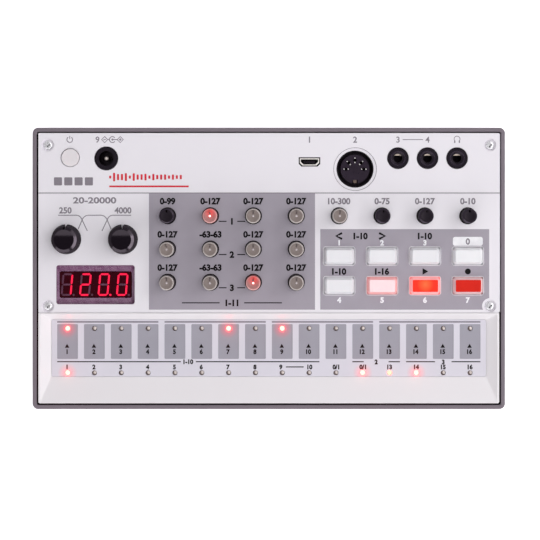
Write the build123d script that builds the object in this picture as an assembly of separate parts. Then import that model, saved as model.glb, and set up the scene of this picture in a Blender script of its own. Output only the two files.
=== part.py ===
from build123d import *
import math
import os

# A compact sample sequencer for a table top: a moulded case with a flat control panel behind a sunk
# touch strip, eighteen turning knobs, eight keys, a power button and a battery door.
# X runs along the width, Y from front to back and Z up. The origin lies under the middle of the case,
# on the surface that the feet stand on. Lengths are millimetres and angles are degrees.

# Controls across the panel, from its left edge to its right edge.
bass_margin = 11.65
isolator_pitch = 23.1
treble_pitch = 18.2
column_count = 8
column_pitch = 17.5
right_margin = 13.05

# Controls along the panel, from its rear edge to the seam at its front edge.
rear_margin = 10.25
socket_to_row = 23.5
row_count = 3
row_pitch = 13.55
row_to_seam = 12.4
isolator_rise = 4.0
display_drop = 1.0
key_drop = 1.4
key_pitch = 12.06

# Touch strip with its sixteen pads and two rows of lamps.
pad_count = 16
pad_gap = 2.5
pad_side_margin = 1.14
pad_back = 2.0
pad_depth = 14.25
pad_corner = 0.4
pad_recess = 0.15
pad_to_lamp = 1.8
pads_to_part_lamp = 5.7
part_lamp_to_front = 1.65
strip_corner = 0.8
strip_thickness = 1.0
strip_fit = 0.1
lamp_radius = 0.975
lamp_clearance = 0.075

# Bezel around the strip.
seam_gap = 0.2
back_land = 0.4
back_facet = 2.3
front_facet = 10.0
front_land = 0.75
side_land = 1.0
side_facet = 4.15
mouth_corner = 0.5
dish_depth = 3.0
ledge_width = 0.6
ledge_thickness = 1.0
skirt_thickness = 1.6
skirt_height = 5.0
shadow_width = 0.25
shadow_depth = 1.4
lip_depth = 1.8
lip_thickness = 1.2
ear_width = 7.2
ear_reach = 3.6
bezel_post_radius = 2.6

# Case walls, floor and rim.
wall = 1.8
panel_gap = 0.45
rim_drop = 0.6
floor = 2.0
cavity_corner = 0.5
plate_corner = 0.7
bottom_round = 1.5
rim_round = 0.4
gusset = 1.6
corner_post_radius = 2.5
case_post_top = 18.0
case_post_spacing = 120.0
case_post_wall = 1.4
case_screw_seat = 10.0

# Rubber feet.
foot_height = 2.0
foot_sink = 0.8
foot_radius = 5.0
foot_fit = 0.1
foot_side_inset = 12.5
foot_end_inset = 10.7
foot_round = 0.6

# Battery bay for six AA cells, its contacts and its door.
cell_count = 6
cell_diameter = 14.5
cell_length = 50.5
cell_button_radius = 2.75
cell_button_length = 1.0
cell_gap = 0.4
cell_clearance = 0.3
cell_end_gap = 0.1
cell_round = 0.8
contact_thickness = 0.5
contact_width = 9.0
contact_rise = 4.6
bay_wall = 2.4
bay_roof = 1.6
bay_offset = 8.0
door_ledge = 2.0
door_fit = 0.25
door_seat = 0.1
tab_width = 12.0
tab_spacing = 56.0
tab_thickness = 0.9
tab_reach = 1.4
tab_lift = 0.2
tab_fit = 0.4
grip_count = 4
grip_pitch = 2.4
grip_width = 1.2
grip_depth = 0.5
grip_length = 26.0

# Circuit boards, their spacing and the parts that stand on them.
board_thickness = 1.6
board_air = 1.8
board_gap = 1.2
board_side_gap = 3.45
board_rear_gap = 1.0
board_front_reach = 2.0
panel_board_margin = 3.2
panel_board_front = 2.4
touch_board_reach = 0.5
touch_board_fit = 0.25
touch_screw_inset = 5.3
header_height = 3.4
header_length = 30.0
header_width = 5.0
chip_size = 14.0
chip_height = 1.4
main_post_radius = 2.8
main_post_inset = 2.5
main_post_setback = 9.0
main_post_advance = 2.4
standoff_radius = 2.2

# Control panel plate.
panel_thickness = 1.6
groove_setback = 14.2
groove_width = 0.4
groove_depth = 0.25
panel_screw_side = 4.05
panel_screw_rear = 4.85
panel_screw_front = 2.7

# Slim potentiometers and the small knobs that stand in them.
pot_width = 9.5
pot_depth = 9.5
pot_height = 5.0
pot_air = 0.3
pot_floor = 0.9
stem_radius = 2.0
stem_end_gap = 0.1
shaft_fit = 0.05
knob_radius = 3.1
knob_top_radius = 2.95
knob_rise = 7.5
knob_hole_gap = 0.4
knob_lift = 0.2
knob_bevel_width = 0.45
knob_bevel_drop = 0.3
knob_dish_radius = 2.1
knob_dish_depth = 0.3
knob_mark_width = 0.7
knob_mark_length = 1.0
knob_mark_inset = 0.55
knob_mark_depth = 0.5

# Isolator potentiometers, their shafts and the large knobs.
isolator_pot_size = 11.6
isolator_pot_air = 0.5
isolator_shaft_radius = 3.0
isolator_shaft_flat = 1.5
isolator_hole_gap = 0.5
isolator_radius = 6.1
isolator_top_radius = 5.15
isolator_knob_height = 9.0
isolator_lift = 0.4
isolator_bevel_width = 1.1
isolator_bevel_drop = 0.6
isolator_cap = 1.6
isolator_mark_width = 1.1
isolator_mark_depth = 1.1

# Keys and the switches under them.
key_width = 12.2
key_depth = 6.9
key_chamfer = 0.9
key_side_slope = 0.95
key_end_slope = 1.0
key_top_chamfer = 0.3
key_rise = 2.2
key_hole_gap = 0.2
key_hole_corner = 0.5
key_lip = 0.4
key_flange = 0.8
key_flange_gap = 0.1
key_plunger = 0.5
key_plunger_radius = 1.6
key_travel = 0.8
press_gap = 0.1
key_switch_size = 6.2
key_switch_button = 0.6
key_switch_button_radius = 1.7

# Power button and its switch.
power_margin = 13.25
power_rise = 0.2
power_radius = 3.6
power_hole_gap = 0.25
power_lip = 0.8
power_proud = 0.7
power_round = 0.4
power_stem_radius = 1.8
power_stem_length = 1.4
power_travel = 1.2
power_switch_size = 8.0
power_switch_button = 1.0
power_switch_button_radius = 2.0

# Power inlet.
inlet_pitch = 14.7
inlet_drop = 0.1
inlet_radius = 4.7
inlet_flat = 4.4
inlet_hole_gap = 0.2
inlet_body_width = 9.0
inlet_body_depth = 11.0
inlet_bore_radius = 3.05
inlet_bore_depth = 9.5
inlet_pin_radius = 1.0
inlet_pin_drop = 1.0
inlet_pin_root = 1.0
inlet_pin_round = 0.4

# Sockets from the right edge towards the left: three small jacks, a round five-pole socket, a data socket.
jack_margin = 17.45
jack_count = 3
jack_pitch = 12.05
jack_radius = 4.25
jack_hole_gap = 0.2
jack_bore_radius = 1.8
jack_bore_depth = 12.0
jack_mouth_radius = 2.7
jack_mouth_depth = 0.6
jack_body_width = 8.0
jack_body_depth = 10.0
socket_proud = 0.2
socket_air = 0.2

round_socket_pitch = 17.5
round_socket_drop = 4.45
round_body_radius = 8.5
round_hole_radius = 7.6
round_recess_radius = 8.85
round_recess_depth = 0.3
round_base = 1.9
round_insert_radius = 5.9
round_insert_drop = 1.1
shield_radius = 7.45
shield_thickness = 0.4
shield_drop = 0.3
shield_fit = 0.05
pole_count = 5
pole_arc_angle = 180.0
pole_ring_radius = 3.6
pole_hole_radius = 0.7
pole_slot_length = 2.4
pole_slot_width = 0.6
pole_depth = 3.0
key_notch_width = 2.2
key_notch_depth = 1.5

data_socket_pitch = 18.6
data_socket_drop = 1.5
data_hole_width = 8.8
data_hole_depth = 3.8
data_shoulder = 1.1
data_shell_gap = 0.45
data_shell_wall = 0.4
data_shell_drop = 0.2
data_pocket = 6.5
tongue_width = 4.4
tongue_depth = 0.8
tongue_drop = 0.7

# Display.
display_offset = 0.35
window_width = 32.0
window_depth = 16.0
window_corner = 1.0
window_thickness = 1.2
window_fit = 0.05
display_width = 29.4
display_depth = 10.7
display_corner = 0.7
display_fit = 0.1
display_air = 0.1
segment_height = 0.15
digit_count = 4
digit_pitch = 7.525
digit_shift = 0.465
digit_width = 4.4
digit_height = 9.2
segment_width = 0.75
segment_gap = 0.12
digit_lean_share = 0.09
point_radius = 0.45
point_offset = 0.85

# Screws.
panel_screw_radius = 1.25
panel_screw_head = 2.2
panel_screw_head_gap = 0.4
panel_screw_head_height = 0.9
panel_screw_seat = 1.0
panel_screw_length = 9.0
case_screw_radius = 1.4
case_screw_head = 2.7
case_screw_head_height = 2.0
case_screw_length = 16.0
case_screw_head_gap = 0.3
board_screw_radius = 0.8
board_screw_head = 1.7
board_screw_head_height = 1.2
board_screw_bite = 2.0
screw_gap = 0.1
cross_width = 0.5
cross_depth = 0.5
cross_share = 0.75

# How far every cut runs past the face that it opens.
overrun = 1.0

# Small knobs by name, row by row from the rear and column by column from the left.
knob_grid = [
    ["sample", "start", "length", "cut", "tempo", "swing", "mix", "volume"],
    ["speed", "pitch_depth", "pitch_attack", "pitch_decay"],
    ["level", "pan", "amp_attack", "amp_decay"],
]

# Knobs whose mark doesn't point straight back, with its angle, anticlockwise.
knob_angles = {"start": 12, "speed": 12, "swing": -10, "mix": -10}

# Keys by name, row by row from the rear, in the last columns.
key_grid = [["part_down", "part_up", "mute", "func"], ["memory", "step", "play", "record"]]

# Plan of the panel across.
panel_width = (
    bass_margin + isolator_pitch + treble_pitch + (column_count - 1) * column_pitch + right_margin
)
panel_right = panel_width / 2
panel_left = -panel_right
bass_x = panel_left + bass_margin
treble_x = bass_x + isolator_pitch
columns = [treble_x + treble_pitch + i * column_pitch for i in range(column_count)]
display_x = (bass_x + treble_x) / 2 + display_offset
power_x = panel_left + power_margin
inlet_x = power_x + inlet_pitch
jacks_x = [panel_right - jack_margin - i * jack_pitch for i in range(jack_count)]
round_x = jacks_x[-1] - round_socket_pitch
data_x = round_x - data_socket_pitch
screw_x = panel_right - panel_screw_side

# Plan of the panel and the strip from back to front.
strip_depth = pad_back + pad_depth + pads_to_part_lamp + part_lamp_to_front
bezel_depth = back_land + back_facet + strip_depth + front_facet + front_land
panel_depth = rear_margin + socket_to_row + (row_count - 1) * row_pitch + row_to_seam
inner_depth = panel_depth + seam_gap + bezel_depth
panel_rear = inner_depth / 2
socket_y = panel_rear - rear_margin
rows = [socket_y - socket_to_row - i * row_pitch for i in range(row_count)]
panel_front = rows[-1] - row_to_seam
isolator_y = rows[1] + isolator_rise
display_y = rows[-1] - display_drop
key_rows = [rows[-1] - key_drop + key_pitch, rows[-1] - key_drop]
knob_places = {name: (x, y) for y, names in zip(rows, knob_grid) for x, name in zip(columns, names)}
key_places = {
    name: (x, y) for y, names in zip(key_rows, key_grid) for x, name in zip(columns[-len(names):], names)
}
power_y = socket_y + power_rise
inlet_y = socket_y - inlet_drop
round_y = socket_y - round_socket_drop
data_y = socket_y - data_socket_drop
groove_y = socket_y - groove_setback
screw_rear_y = panel_rear - panel_screw_rear
screw_front_y = panel_front + panel_screw_front
bezel_rear = panel_front - seam_gap
bezel_front = bezel_rear - bezel_depth
strip_rear = bezel_rear - back_land - back_facet
strip_front = strip_rear - strip_depth
strip_width = panel_width - 2 * (side_land + side_facet)
pad_pitch = (strip_width - 2 * pad_side_margin) / pad_count
pad_width = pad_pitch - pad_gap
pads_x = [(i - (pad_count - 1) / 2) * pad_pitch for i in range(pad_count)]
pad_rear = strip_rear - pad_back
pad_front = pad_rear - pad_depth
lamps = [(x, y) for y in (pad_rear - pad_to_lamp, pad_front - pads_to_part_lamp) for x in pads_x]
case_posts = [(side * case_post_spacing / 2, strip_front - front_facet / 2) for side in (-1, 1)]

# Plan of the case.
cavity_width = panel_width + 2 * panel_gap
cavity_depth = inner_depth + 2 * panel_gap
case_width = cavity_width + 2 * wall
case_depth = cavity_depth + 2 * wall
case_corner = cavity_corner + wall
foot_x = case_width / 2 - foot_side_inset
foot_y = case_depth / 2 - foot_end_inset
feet = [(-foot_x, -foot_y), (foot_x, -foot_y), (-foot_x, foot_y), (foot_x, foot_y)]

# Heights, from the table upwards.
case_low = foot_height
floor_top = case_low + floor
cell_z = floor_top + cell_clearance + cell_diameter / 2
bay_ceiling = cell_z + cell_diameter / 2 + cell_clearance
bay_top = bay_ceiling + bay_roof
main_low = bay_top + board_air
main_top = main_low + board_thickness
board_low = main_top + header_height
board_top = board_low + board_thickness
pot_top = board_top + pot_height
panel_low = pot_top + pot_air
panel_top = panel_low + panel_thickness
rim_top = panel_top - rim_drop
step_low = panel_top - shadow_depth
strip_top = panel_top - dish_depth
strip_low = strip_top - strip_thickness
bezel_low = strip_low - ledge_thickness
touch_low = bezel_low - board_thickness
socket_top = panel_top + socket_proud
shoulder_top = panel_low - socket_air

# Corner posts of the case with the height of each top: the panel at the rear, the bezel's ears at the front.
corner_posts = {
    (-screw_x, screw_rear_y): panel_low,
    (screw_x, screw_rear_y): panel_low,
    (-screw_x, screw_front_y): bezel_low,
    (screw_x, screw_front_y): bezel_low,
}

# Battery bay in plan.
cell_pitch = cell_diameter + cell_gap
cells_x = [(i - (cell_count - 1) / 2) * cell_pitch for i in range(cell_count)]
bay_half_width = cell_count * cell_pitch / 2 + cell_gap / 2
bay_half_depth = cell_length / 2 + contact_thickness + cell_end_gap
bay_rear = bay_offset + bay_half_depth
bay_front = bay_offset - bay_half_depth
opening_half_width = bay_half_width + door_ledge
opening_rear = bay_rear + door_ledge
opening_front = bay_front - door_ledge
tab_low = floor_top + tab_lift
tab_top = tab_low + tab_thickness
tab_swing = math.hypot(tab_reach, tab_top - case_low)
notch_top = case_low + tab_swing + tab_fit
tabs_x = [-tab_spacing / 2, tab_spacing / 2]

# Boards in plan, clear of the corner posts.
cavity_rear = cavity_depth / 2
main_half = screw_x - corner_post_radius - board_gap
main_rear = cavity_rear - board_rear_gap
main_front = panel_front - board_front_reach
main_posts = [
    (side * (main_half - main_post_inset), y)
    for side in (-1, 1)
    for y in (socket_y - main_post_setback, rows[-1] - main_post_advance)
]
board_half = cavity_width / 2 - board_side_gap
board_rear = rows[0] + pot_depth / 2 + panel_board_margin
board_front = panel_front + panel_board_front
key_flange_width = key_width + 2 * (key_hole_gap + key_lip)
key_flange_depth = key_depth + 2 * (key_hole_gap + key_lip)
standoff_columns = [(treble_x + columns[0]) / 2, (columns[2] + columns[3]) / 2]
standoffs = [(x, y) for x in standoff_columns for y in (rows[0], rows[-1])]
standoffs.append(
    (
        (columns[5] + columns[6]) / 2,
        (rows[0] - pot_depth / 2 + key_rows[0] + key_flange_depth / 2) / 2,
    )
)
touch_half = panel_right - skirt_thickness - touch_board_fit
touch_rear = strip_rear + touch_board_reach
touch_front = strip_front - touch_board_reach
touch_screws = [
    (side * (strip_width / 2 + touch_half) / 2, y)
    for side in (-1, 1)
    for y in (strip_rear - touch_screw_inset, strip_front + touch_screw_inset)
]


def block(x_low, x_high, y_low, y_high, z_low, z_high):
    """A box between two opposite corners."""
    middle = Pos((x_low + x_high) / 2, (y_low + y_high) / 2, (z_low + z_high) / 2)
    return middle * Box(x_high - x_low, y_high - y_low, z_high - z_low)


def bar(x, y, z_low, z_high, width, depth):
    """A box centred on x and y."""
    return block(x - width / 2, x + width / 2, y - depth / 2, y + depth / 2, z_low, z_high)


def disc(x, y, z_low, z_high, radius):
    """An upright cylinder."""
    return Pos(x, y, (z_low + z_high) / 2) * Cylinder(radius, z_high - z_low)


def slab(x, y, z_low, z_high, width, depth, corner):
    """A plate with rounded upright edges, centred on x and y."""
    return extrude(Pos(x, y, z_low) * RectangleRounded(width, depth, corner), z_high - z_low)


def rod(x, z, y_low, y_high, radius):
    """A cylinder that lies from front to back."""
    return Pos(x, (y_low + y_high) / 2, z) * Rot(90, 0, 0) * Cylinder(radius, y_high - y_low)


def screw(head_radius, head_height, shank_radius, length):
    """A screw that points down, with the seat of its head at zero and a cross in the head."""
    cross = 2 * head_radius * cross_share
    low = head_height - cross_depth
    high = head_height + overrun
    body = disc(0, 0, 0, head_height, head_radius) + disc(0, 0, -length, 0, shank_radius)
    return body - [bar(0, 0, low, high, cross, cross_width), bar(0, 0, low, high, cross_width, cross)]


def set_screws(shape, seat, places, head_up):
    """Copies of one screw at several places on a seat."""
    turn = Rot(0, 0, 0) if head_up else Rot(180, 0, 0)
    return [Pos(x, y, seat) * turn * shape for x, y in places]


def discs(places, z_low, z_high, radius):
    """Equal upright cylinders at several places."""
    return [disc(x, y, z_low, z_high, radius) for x, y in places]


def bottom_case():
    """The tub: walls, floor, battery bay, posts, gussets and foot recesses."""
    tub = slab(0, 0, case_low, rim_top, case_width, case_depth, case_corner)
    tub = fillet(tub.faces().sort_by(Axis.Z)[0].edges(), bottom_round)
    tub -= slab(0, 0, floor_top, rim_top + overrun, cavity_width, cavity_depth, cavity_corner)
    tub = fillet(tub.faces().sort_by(Axis.Z)[-1].edges(), rim_round)
    side = bay_half_width + bay_wall
    case_bore = case_screw_head + case_screw_head_gap
    added = [block(-side, side, bay_front - bay_wall, bay_rear + bay_wall, floor_top, bay_top)]
    for (x, y), top in corner_posts.items():
        edge = math.copysign(cavity_width / 2, x)
        added.append(disc(x, y, floor_top, top, corner_post_radius))
        added.append(block(min(x, edge), max(x, edge), y - gusset / 2, y + gusset / 2, floor_top, top))
    added += discs(main_posts, floor_top, main_low, main_post_radius)
    added += discs(case_posts, floor_top, case_post_top, case_bore + case_post_wall)
    tub += added

    below = case_low - overrun
    cuts = [
        block(-bay_half_width, bay_half_width, bay_front, bay_rear, floor_top, bay_ceiling),
        block(-opening_half_width, opening_half_width, opening_front, opening_rear, below, floor_top),
    ]
    for x in tabs_x:
        half = tab_width / 2 + tab_fit
        outer = bay_front - bay_wall - overrun
        cuts.append(block(x - half, x + half, outer, bay_front, floor_top, notch_top))
    for (x, y), top in corner_posts.items():
        low = panel_top - panel_screw_length - overrun
        cuts.append(disc(x, y, low, top, panel_screw_radius + screw_gap))
    board_bore = board_screw_radius + screw_gap
    cuts += discs(main_posts, main_low - board_screw_bite - overrun, main_low, board_bore)
    cuts += discs(case_posts, below, case_screw_seat, case_bore)
    cuts += discs(case_posts, case_screw_seat, case_post_top, case_screw_radius + screw_gap)
    cuts += discs(feet, below, case_low + foot_sink, foot_radius + foot_fit)
    return tub - cuts


def rubber_feet():
    """Four round feet, each sunk a little into the floor."""
    foot = disc(0, 0, 0, case_low + foot_sink, foot_radius)
    foot = fillet(foot.edges().sort_by(Axis.Z)[0], foot_round)
    return [Pos(x, y, 0) * foot for x, y in feet]


def battery_door():
    """The door plate with a ribbed finger grip and, at its front edge, two tabs that hook over the floor.

    It swings about its lower front edge, and each tab's back is rounded about that line to clear the cells.
    """
    half = opening_half_width - door_fit
    front = opening_front + door_fit
    rear = opening_rear - door_fit
    top = floor_top - door_seat
    door = block(-half, half, front, rear, case_low, top)
    for x in tabs_x:
        left = x - tab_width / 2
        right = x + tab_width / 2
        swing = Pos(x, opening_front, case_low) * Rot(0, 90, 0) * Cylinder(tab_swing, 2 * tab_width)
        door += block(left, right, front, bay_front, top, tab_top) & swing
        door += block(left, right, opening_front - tab_reach, front, tab_low, tab_top)
    grips = [rear - (i + 1) * grip_pitch for i in range(grip_count)]
    return door - [
        bar(0, y, case_low - overrun, case_low + grip_depth, grip_length, grip_width) for y in grips
    ]


def batteries():
    """Six cells side by side, turned end for end in turn."""
    cells = []
    for i, x in enumerate(cells_x):
        front = bay_offset - cell_length / 2
        rear = bay_offset + cell_length / 2
        if i % 2:
            can = (front + cell_button_length, rear)
            button = (front, front + cell_button_length)
        else:
            can = (front, rear - cell_button_length)
            button = (rear - cell_button_length, rear)
        body = rod(x, cell_z, *can, cell_diameter / 2)
        body = fillet(body.edges().filter_by(GeomType.CIRCLE), cell_round)
        cells.append(body + rod(x, cell_z, *button, cell_button_radius))
    return cells


def battery_contacts():
    """A flat contact plate on the bay wall at each end of each cell."""
    low = cell_z - contact_rise
    high = cell_z + contact_rise
    plates = []
    for x in cells_x:
        left = x - contact_width / 2
        right = x + contact_width / 2
        plates.append(block(left, right, bay_front, bay_front + contact_thickness, low, high))
        plates.append(block(left, right, bay_rear - contact_thickness, bay_rear, low, high))
    return plates


def front_bezel():
    """The frame around the touch strip: sloping facets, a stepped edge, a ledge, a skirt, ears and posts."""
    frame = block(panel_left, panel_right, bezel_front, bezel_rear, bezel_low, panel_top)
    frame = fillet(frame.edges().filter_by(Axis.Z).sort_by(Axis.Y)[:2], plate_corner)
    mouth_front = bezel_front + front_land
    mouth_rear = bezel_rear - back_land
    mouth = RectangleRounded(panel_width - 2 * side_land, mouth_rear - mouth_front, mouth_corner)
    seat = RectangleRounded(strip_width, strip_depth, strip_corner)
    strip_y = (strip_front + strip_rear) / 2
    frame -= loft(
        [
            (Pos(0, strip_y, strip_top) * seat).face(),
            (Pos(0, (mouth_front + mouth_rear) / 2, panel_top) * mouth).face(),
        ],
        ruled=True,
    )
    keep_front = bezel_front + shadow_width
    keep_rear = bezel_rear + plate_corner + overrun
    high = panel_top + overrun
    step = block(
        panel_left - overrun, panel_right + overrun, bezel_front - overrun, bezel_rear + overrun,
        step_low, high,
    )
    keep_width = panel_width - 2 * shadow_width
    keep_y = (keep_front + keep_rear) / 2
    frame -= step - slab(0, keep_y, step_low, high, keep_width, keep_rear - keep_front, plate_corner)
    inner = strip_width / 2 - ledge_width
    below = bezel_low - overrun
    window_front = strip_front + ledge_width
    window_rear = strip_rear - ledge_width
    frame -= slab(0, strip_y, strip_low, strip_top, strip_width, strip_depth, strip_corner)
    frame -= block(-inner, inner, window_front, window_rear, below, strip_low)

    skirt_low = bezel_low - skirt_height
    skirt_front = bezel_front + skirt_thickness
    skirt_rear = min(bezel_rear, screw_front_y - corner_post_radius - panel_gap)
    lip_half = screw_x - ear_width / 2
    lip_low = panel_low - lip_thickness
    added = [
        block(panel_left, panel_right, bezel_front, skirt_front, skirt_low, bezel_low),
        block(panel_left, panel_left + skirt_thickness, bezel_front, skirt_rear, skirt_low, bezel_low),
        block(panel_right - skirt_thickness, panel_right, bezel_front, skirt_rear, skirt_low, bezel_low),
        block(-lip_half, lip_half, bezel_rear, bezel_rear + lip_depth, lip_low, panel_low),
    ]
    for x in (-screw_x, screw_x):
        ear_rear = screw_front_y + ear_reach
        added.append(block(x - ear_width / 2, x + ear_width / 2, bezel_rear, ear_rear, bezel_low, panel_low))
    added += discs(case_posts, case_post_top, bezel_low, bezel_post_radius)
    frame += added

    ears = [(-screw_x, screw_front_y), (screw_x, screw_front_y)]
    tip = case_screw_seat + case_screw_length + overrun
    cuts = discs(lamps, below, strip_low, lamp_radius + lamp_clearance)
    cuts += discs(ears, below, panel_low, panel_screw_radius + screw_gap)
    cuts += discs(case_posts, case_post_top - overrun, tip, case_screw_radius + screw_gap)
    cuts += discs(touch_screws, below, bezel_low + board_screw_bite, board_screw_radius + screw_gap)
    return frame - cuts


def touch_strip():
    """The touch sheet, with a shallow pocket for each pad and a hole for each lamp."""
    strip_y = (strip_front + strip_rear) / 2
    width = strip_width - 2 * strip_fit
    depth = strip_depth - 2 * strip_fit
    sheet = slab(0, strip_y, strip_low, strip_top, width, depth, strip_corner - strip_fit)
    pad_y = (pad_front + pad_rear) / 2
    pocket_low = strip_top - pad_recess
    sheet -= [slab(x, pad_y, pocket_low, strip_top, pad_width, pad_depth, pad_corner) for x in pads_x]
    return sheet - discs(lamps, strip_low, strip_top, lamp_radius + lamp_clearance)


def step_leds():
    """Two rows of sixteen lamps that stand on the touch board and end level with the strip."""
    step_row = discs(lamps[:pad_count], bezel_low, strip_top - pad_recess, lamp_radius)
    part_row = discs(lamps[pad_count:], bezel_low, strip_top, lamp_radius)
    return step_row + part_row


def touch_board():
    """The board under the strip, screwed up against the bezel."""
    board = block(-touch_half, touch_half, touch_front, touch_rear, touch_low, bezel_low)
    return board - discs(touch_screws, touch_low, bezel_low, board_screw_radius + screw_gap)


def main_board():
    """The lower board, which carries the sockets."""
    board = block(-main_half, main_half, main_front, main_rear, main_low, main_top)
    return board - discs(main_posts, main_low, main_top, board_screw_radius + screw_gap)


def panel_board():
    """The upper board, which carries the controls, cut back at the front posts and the round socket."""
    board = block(-board_half, board_half, board_front, board_rear, board_low, board_top)
    outer = board_half + overrun
    front = board_front - overrun
    notch_rear = screw_front_y + corner_post_radius + board_gap
    cuts = [
        block(main_half, outer, front, notch_rear, board_low, board_top),
        block(-outer, -main_half, front, notch_rear, board_low, board_top),
        disc(round_x, round_y, board_low, board_top, round_body_radius + board_gap),
    ]
    cuts += discs(standoffs, board_low, board_top, board_screw_radius + screw_gap)
    return board - cuts


def board_header():
    """The pin header that joins the two boards."""
    x = (columns[1] + columns[2]) / 2
    return bar(x, rows[1], main_top, board_low, header_length, header_width)


def processor_chip():
    """The processor on the main board."""
    return bar(columns[4], rows[1], main_top, main_top + chip_height, chip_size, chip_size)


def data_outline(inset):
    """The mouth of the data socket: a rectangle with two sloping corners at the front."""
    half = data_hole_width / 2 - inset
    back = data_hole_depth / 2 - inset
    shoulder = data_shoulder
    points = [
        (-half, back),
        (-half, -back + shoulder),
        (-half + shoulder, -back),
        (half - shoulder, -back),
        (half, -back + shoulder),
        (half, back),
    ]
    return Pos(data_x, data_y) * Polygon(*points, align=None)


def data_prism(inset, z_low, z_high):
    """The data socket's outline, drawn upwards."""
    return extrude(Pos(0, 0, z_low) * data_outline(inset), z_high - z_low)


def key_hole(x, y):
    """The hole that a key stands in."""
    width = key_width + 2 * key_hole_gap
    depth = key_depth + 2 * key_hole_gap
    return slab(x, y, panel_low - overrun, panel_top + overrun, width, depth, key_hole_corner)


def control_panel():
    """The flat plate with every hole that a control, socket, screw or the display needs."""
    plate = block(panel_left, panel_right, panel_front, panel_rear, panel_low, panel_top)
    plate = fillet(plate.edges().filter_by(Axis.Z), plate_corner)
    plate += discs(standoffs, board_top, panel_low, standoff_radius)
    board_bore = board_screw_radius + screw_gap
    plate -= discs(standoffs, board_top - overrun, board_top + board_screw_bite, board_bore)

    low = panel_low - overrun
    high = panel_top + overrun
    isolators = [(bass_x, isolator_y), (treble_x, isolator_y)]
    jacks = [(x, socket_y) for x in jacks_x]
    cuts = discs(knob_places.values(), low, high, knob_radius + knob_hole_gap)
    cuts += discs(isolators, low, high, isolator_shaft_radius + isolator_hole_gap)
    cuts += discs(jacks, low, high, jack_radius + jack_hole_gap)
    cuts += discs(corner_posts, low, high, panel_screw_radius + screw_gap)
    cuts += [key_hole(x, y) for x, y in key_places.values()]
    cuts.append(disc(power_x, power_y, low, high, power_radius + power_hole_gap))
    cuts.append(disc(inlet_x, inlet_y, low, high, inlet_radius + inlet_hole_gap))
    cuts.append(disc(round_x, round_y, low, high, round_hole_radius))
    cuts.append(data_prism(0, low, high))
    opening_width = display_width + 2 * display_fit
    opening_depth = display_depth + 2 * display_fit
    opening_corner = display_corner + display_fit
    cuts.append(slab(display_x, display_y, low, high, opening_width, opening_depth, opening_corner))
    plate -= cuts

    lens_low = panel_top - window_thickness
    groove_front = groove_y - groove_width / 2
    groove_rear = groove_y + groove_width / 2
    groove_low = panel_top - groove_depth
    head = panel_screw_head + panel_screw_head_gap
    recesses = discs(corner_posts, panel_top - panel_screw_seat, high, head)
    recesses += [
        disc(round_x, round_y, panel_top - round_recess_depth, high, round_recess_radius),
        slab(display_x, display_y, lens_low, high, window_width, window_depth, window_corner),
        block(panel_left - overrun, panel_right + overrun, groove_front, groove_rear, groove_low, high),
        block(
            panel_left - overrun, panel_left + shadow_width, panel_front - overrun, panel_rear + overrun,
            step_low, high,
        ),
    ]
    return plate - recesses


def display_window():
    """The tinted window, flush with the panel."""
    low = panel_top - window_thickness
    width = window_width - 2 * window_fit
    depth = window_depth - 2 * window_fit
    return slab(display_x, display_y, low, panel_top, width, depth, window_corner - window_fit)


def display_face():
    """The height of the face that carries the segments."""
    return panel_top - window_thickness - display_air - segment_height


def display_module():
    """The body of the four-digit display, on the panel board."""
    return slab(display_x, display_y, board_top, display_face(), display_width, display_depth, display_corner)


def lean(points, x, y):
    """Points of a digit, leaned over and moved to their place."""
    return [(x + px + digit_lean_share * py, y + py) for px, py in points]


def segment(along, across, length, upright):
    """The six corners of one segment, with pointed ends."""
    half = length / 2 - segment_gap
    thick = segment_width / 2
    flat = half - thick
    corners = [(half, 0), (flat, thick), (-flat, thick), (-half, 0), (-flat, -thick), (flat, -thick)]
    if upright:
        return [(along - b, across + a) for a, b in corners]
    return [(along + a, across + b) for a, b in corners]


def display_segments():
    """Seven bars and a point for each digit, standing on the display's face."""
    face = display_face()
    width = digit_width - segment_width
    height = digit_height - segment_width
    outlines = []
    for y in (-height / 2, 0, height / 2):
        outlines.append(segment(0, y, width, False))
    for x in (-width / 2, width / 2):
        for y in (-height / 4, height / 4):
            outlines.append(segment(x, y, height / 2, True))
    bars = []
    for i in range(digit_count):
        x = display_x + (i - (digit_count - 1) / 2) * digit_pitch - digit_shift
        for outline in outlines:
            shape = Polygon(*lean(outline, x, display_y), align=None)
            bars.append(extrude(Pos(0, 0, face) * shape, segment_height))
        point_x = x + digit_width / 2 + point_offset - digit_lean_share * digit_height / 2
        bars.append(disc(point_x, display_y - height / 2, face, face + segment_height, point_radius))
    return bars


def slim_pots():
    """One slim potentiometer under each small knob, with the bore that the knob's stem turns in."""
    pot = bar(0, 0, board_top, pot_top, pot_width, pot_depth)
    pot -= disc(0, 0, board_top + pot_floor, pot_top, stem_radius + shaft_fit)
    return [Pos(x, y, 0) * pot for x, y in knob_places.values()]


def bevelled(radius, top_radius, bevel_width, low, shoulder, top):
    """A tapered knob head with a sloping edge round its top."""
    head = Pos(0, 0, (low + shoulder) / 2) * Cone(radius, top_radius, shoulder - low)
    return head + Pos(0, 0, (shoulder + top) / 2) * Cone(top_radius, top_radius - bevel_width, top - shoulder)


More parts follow.
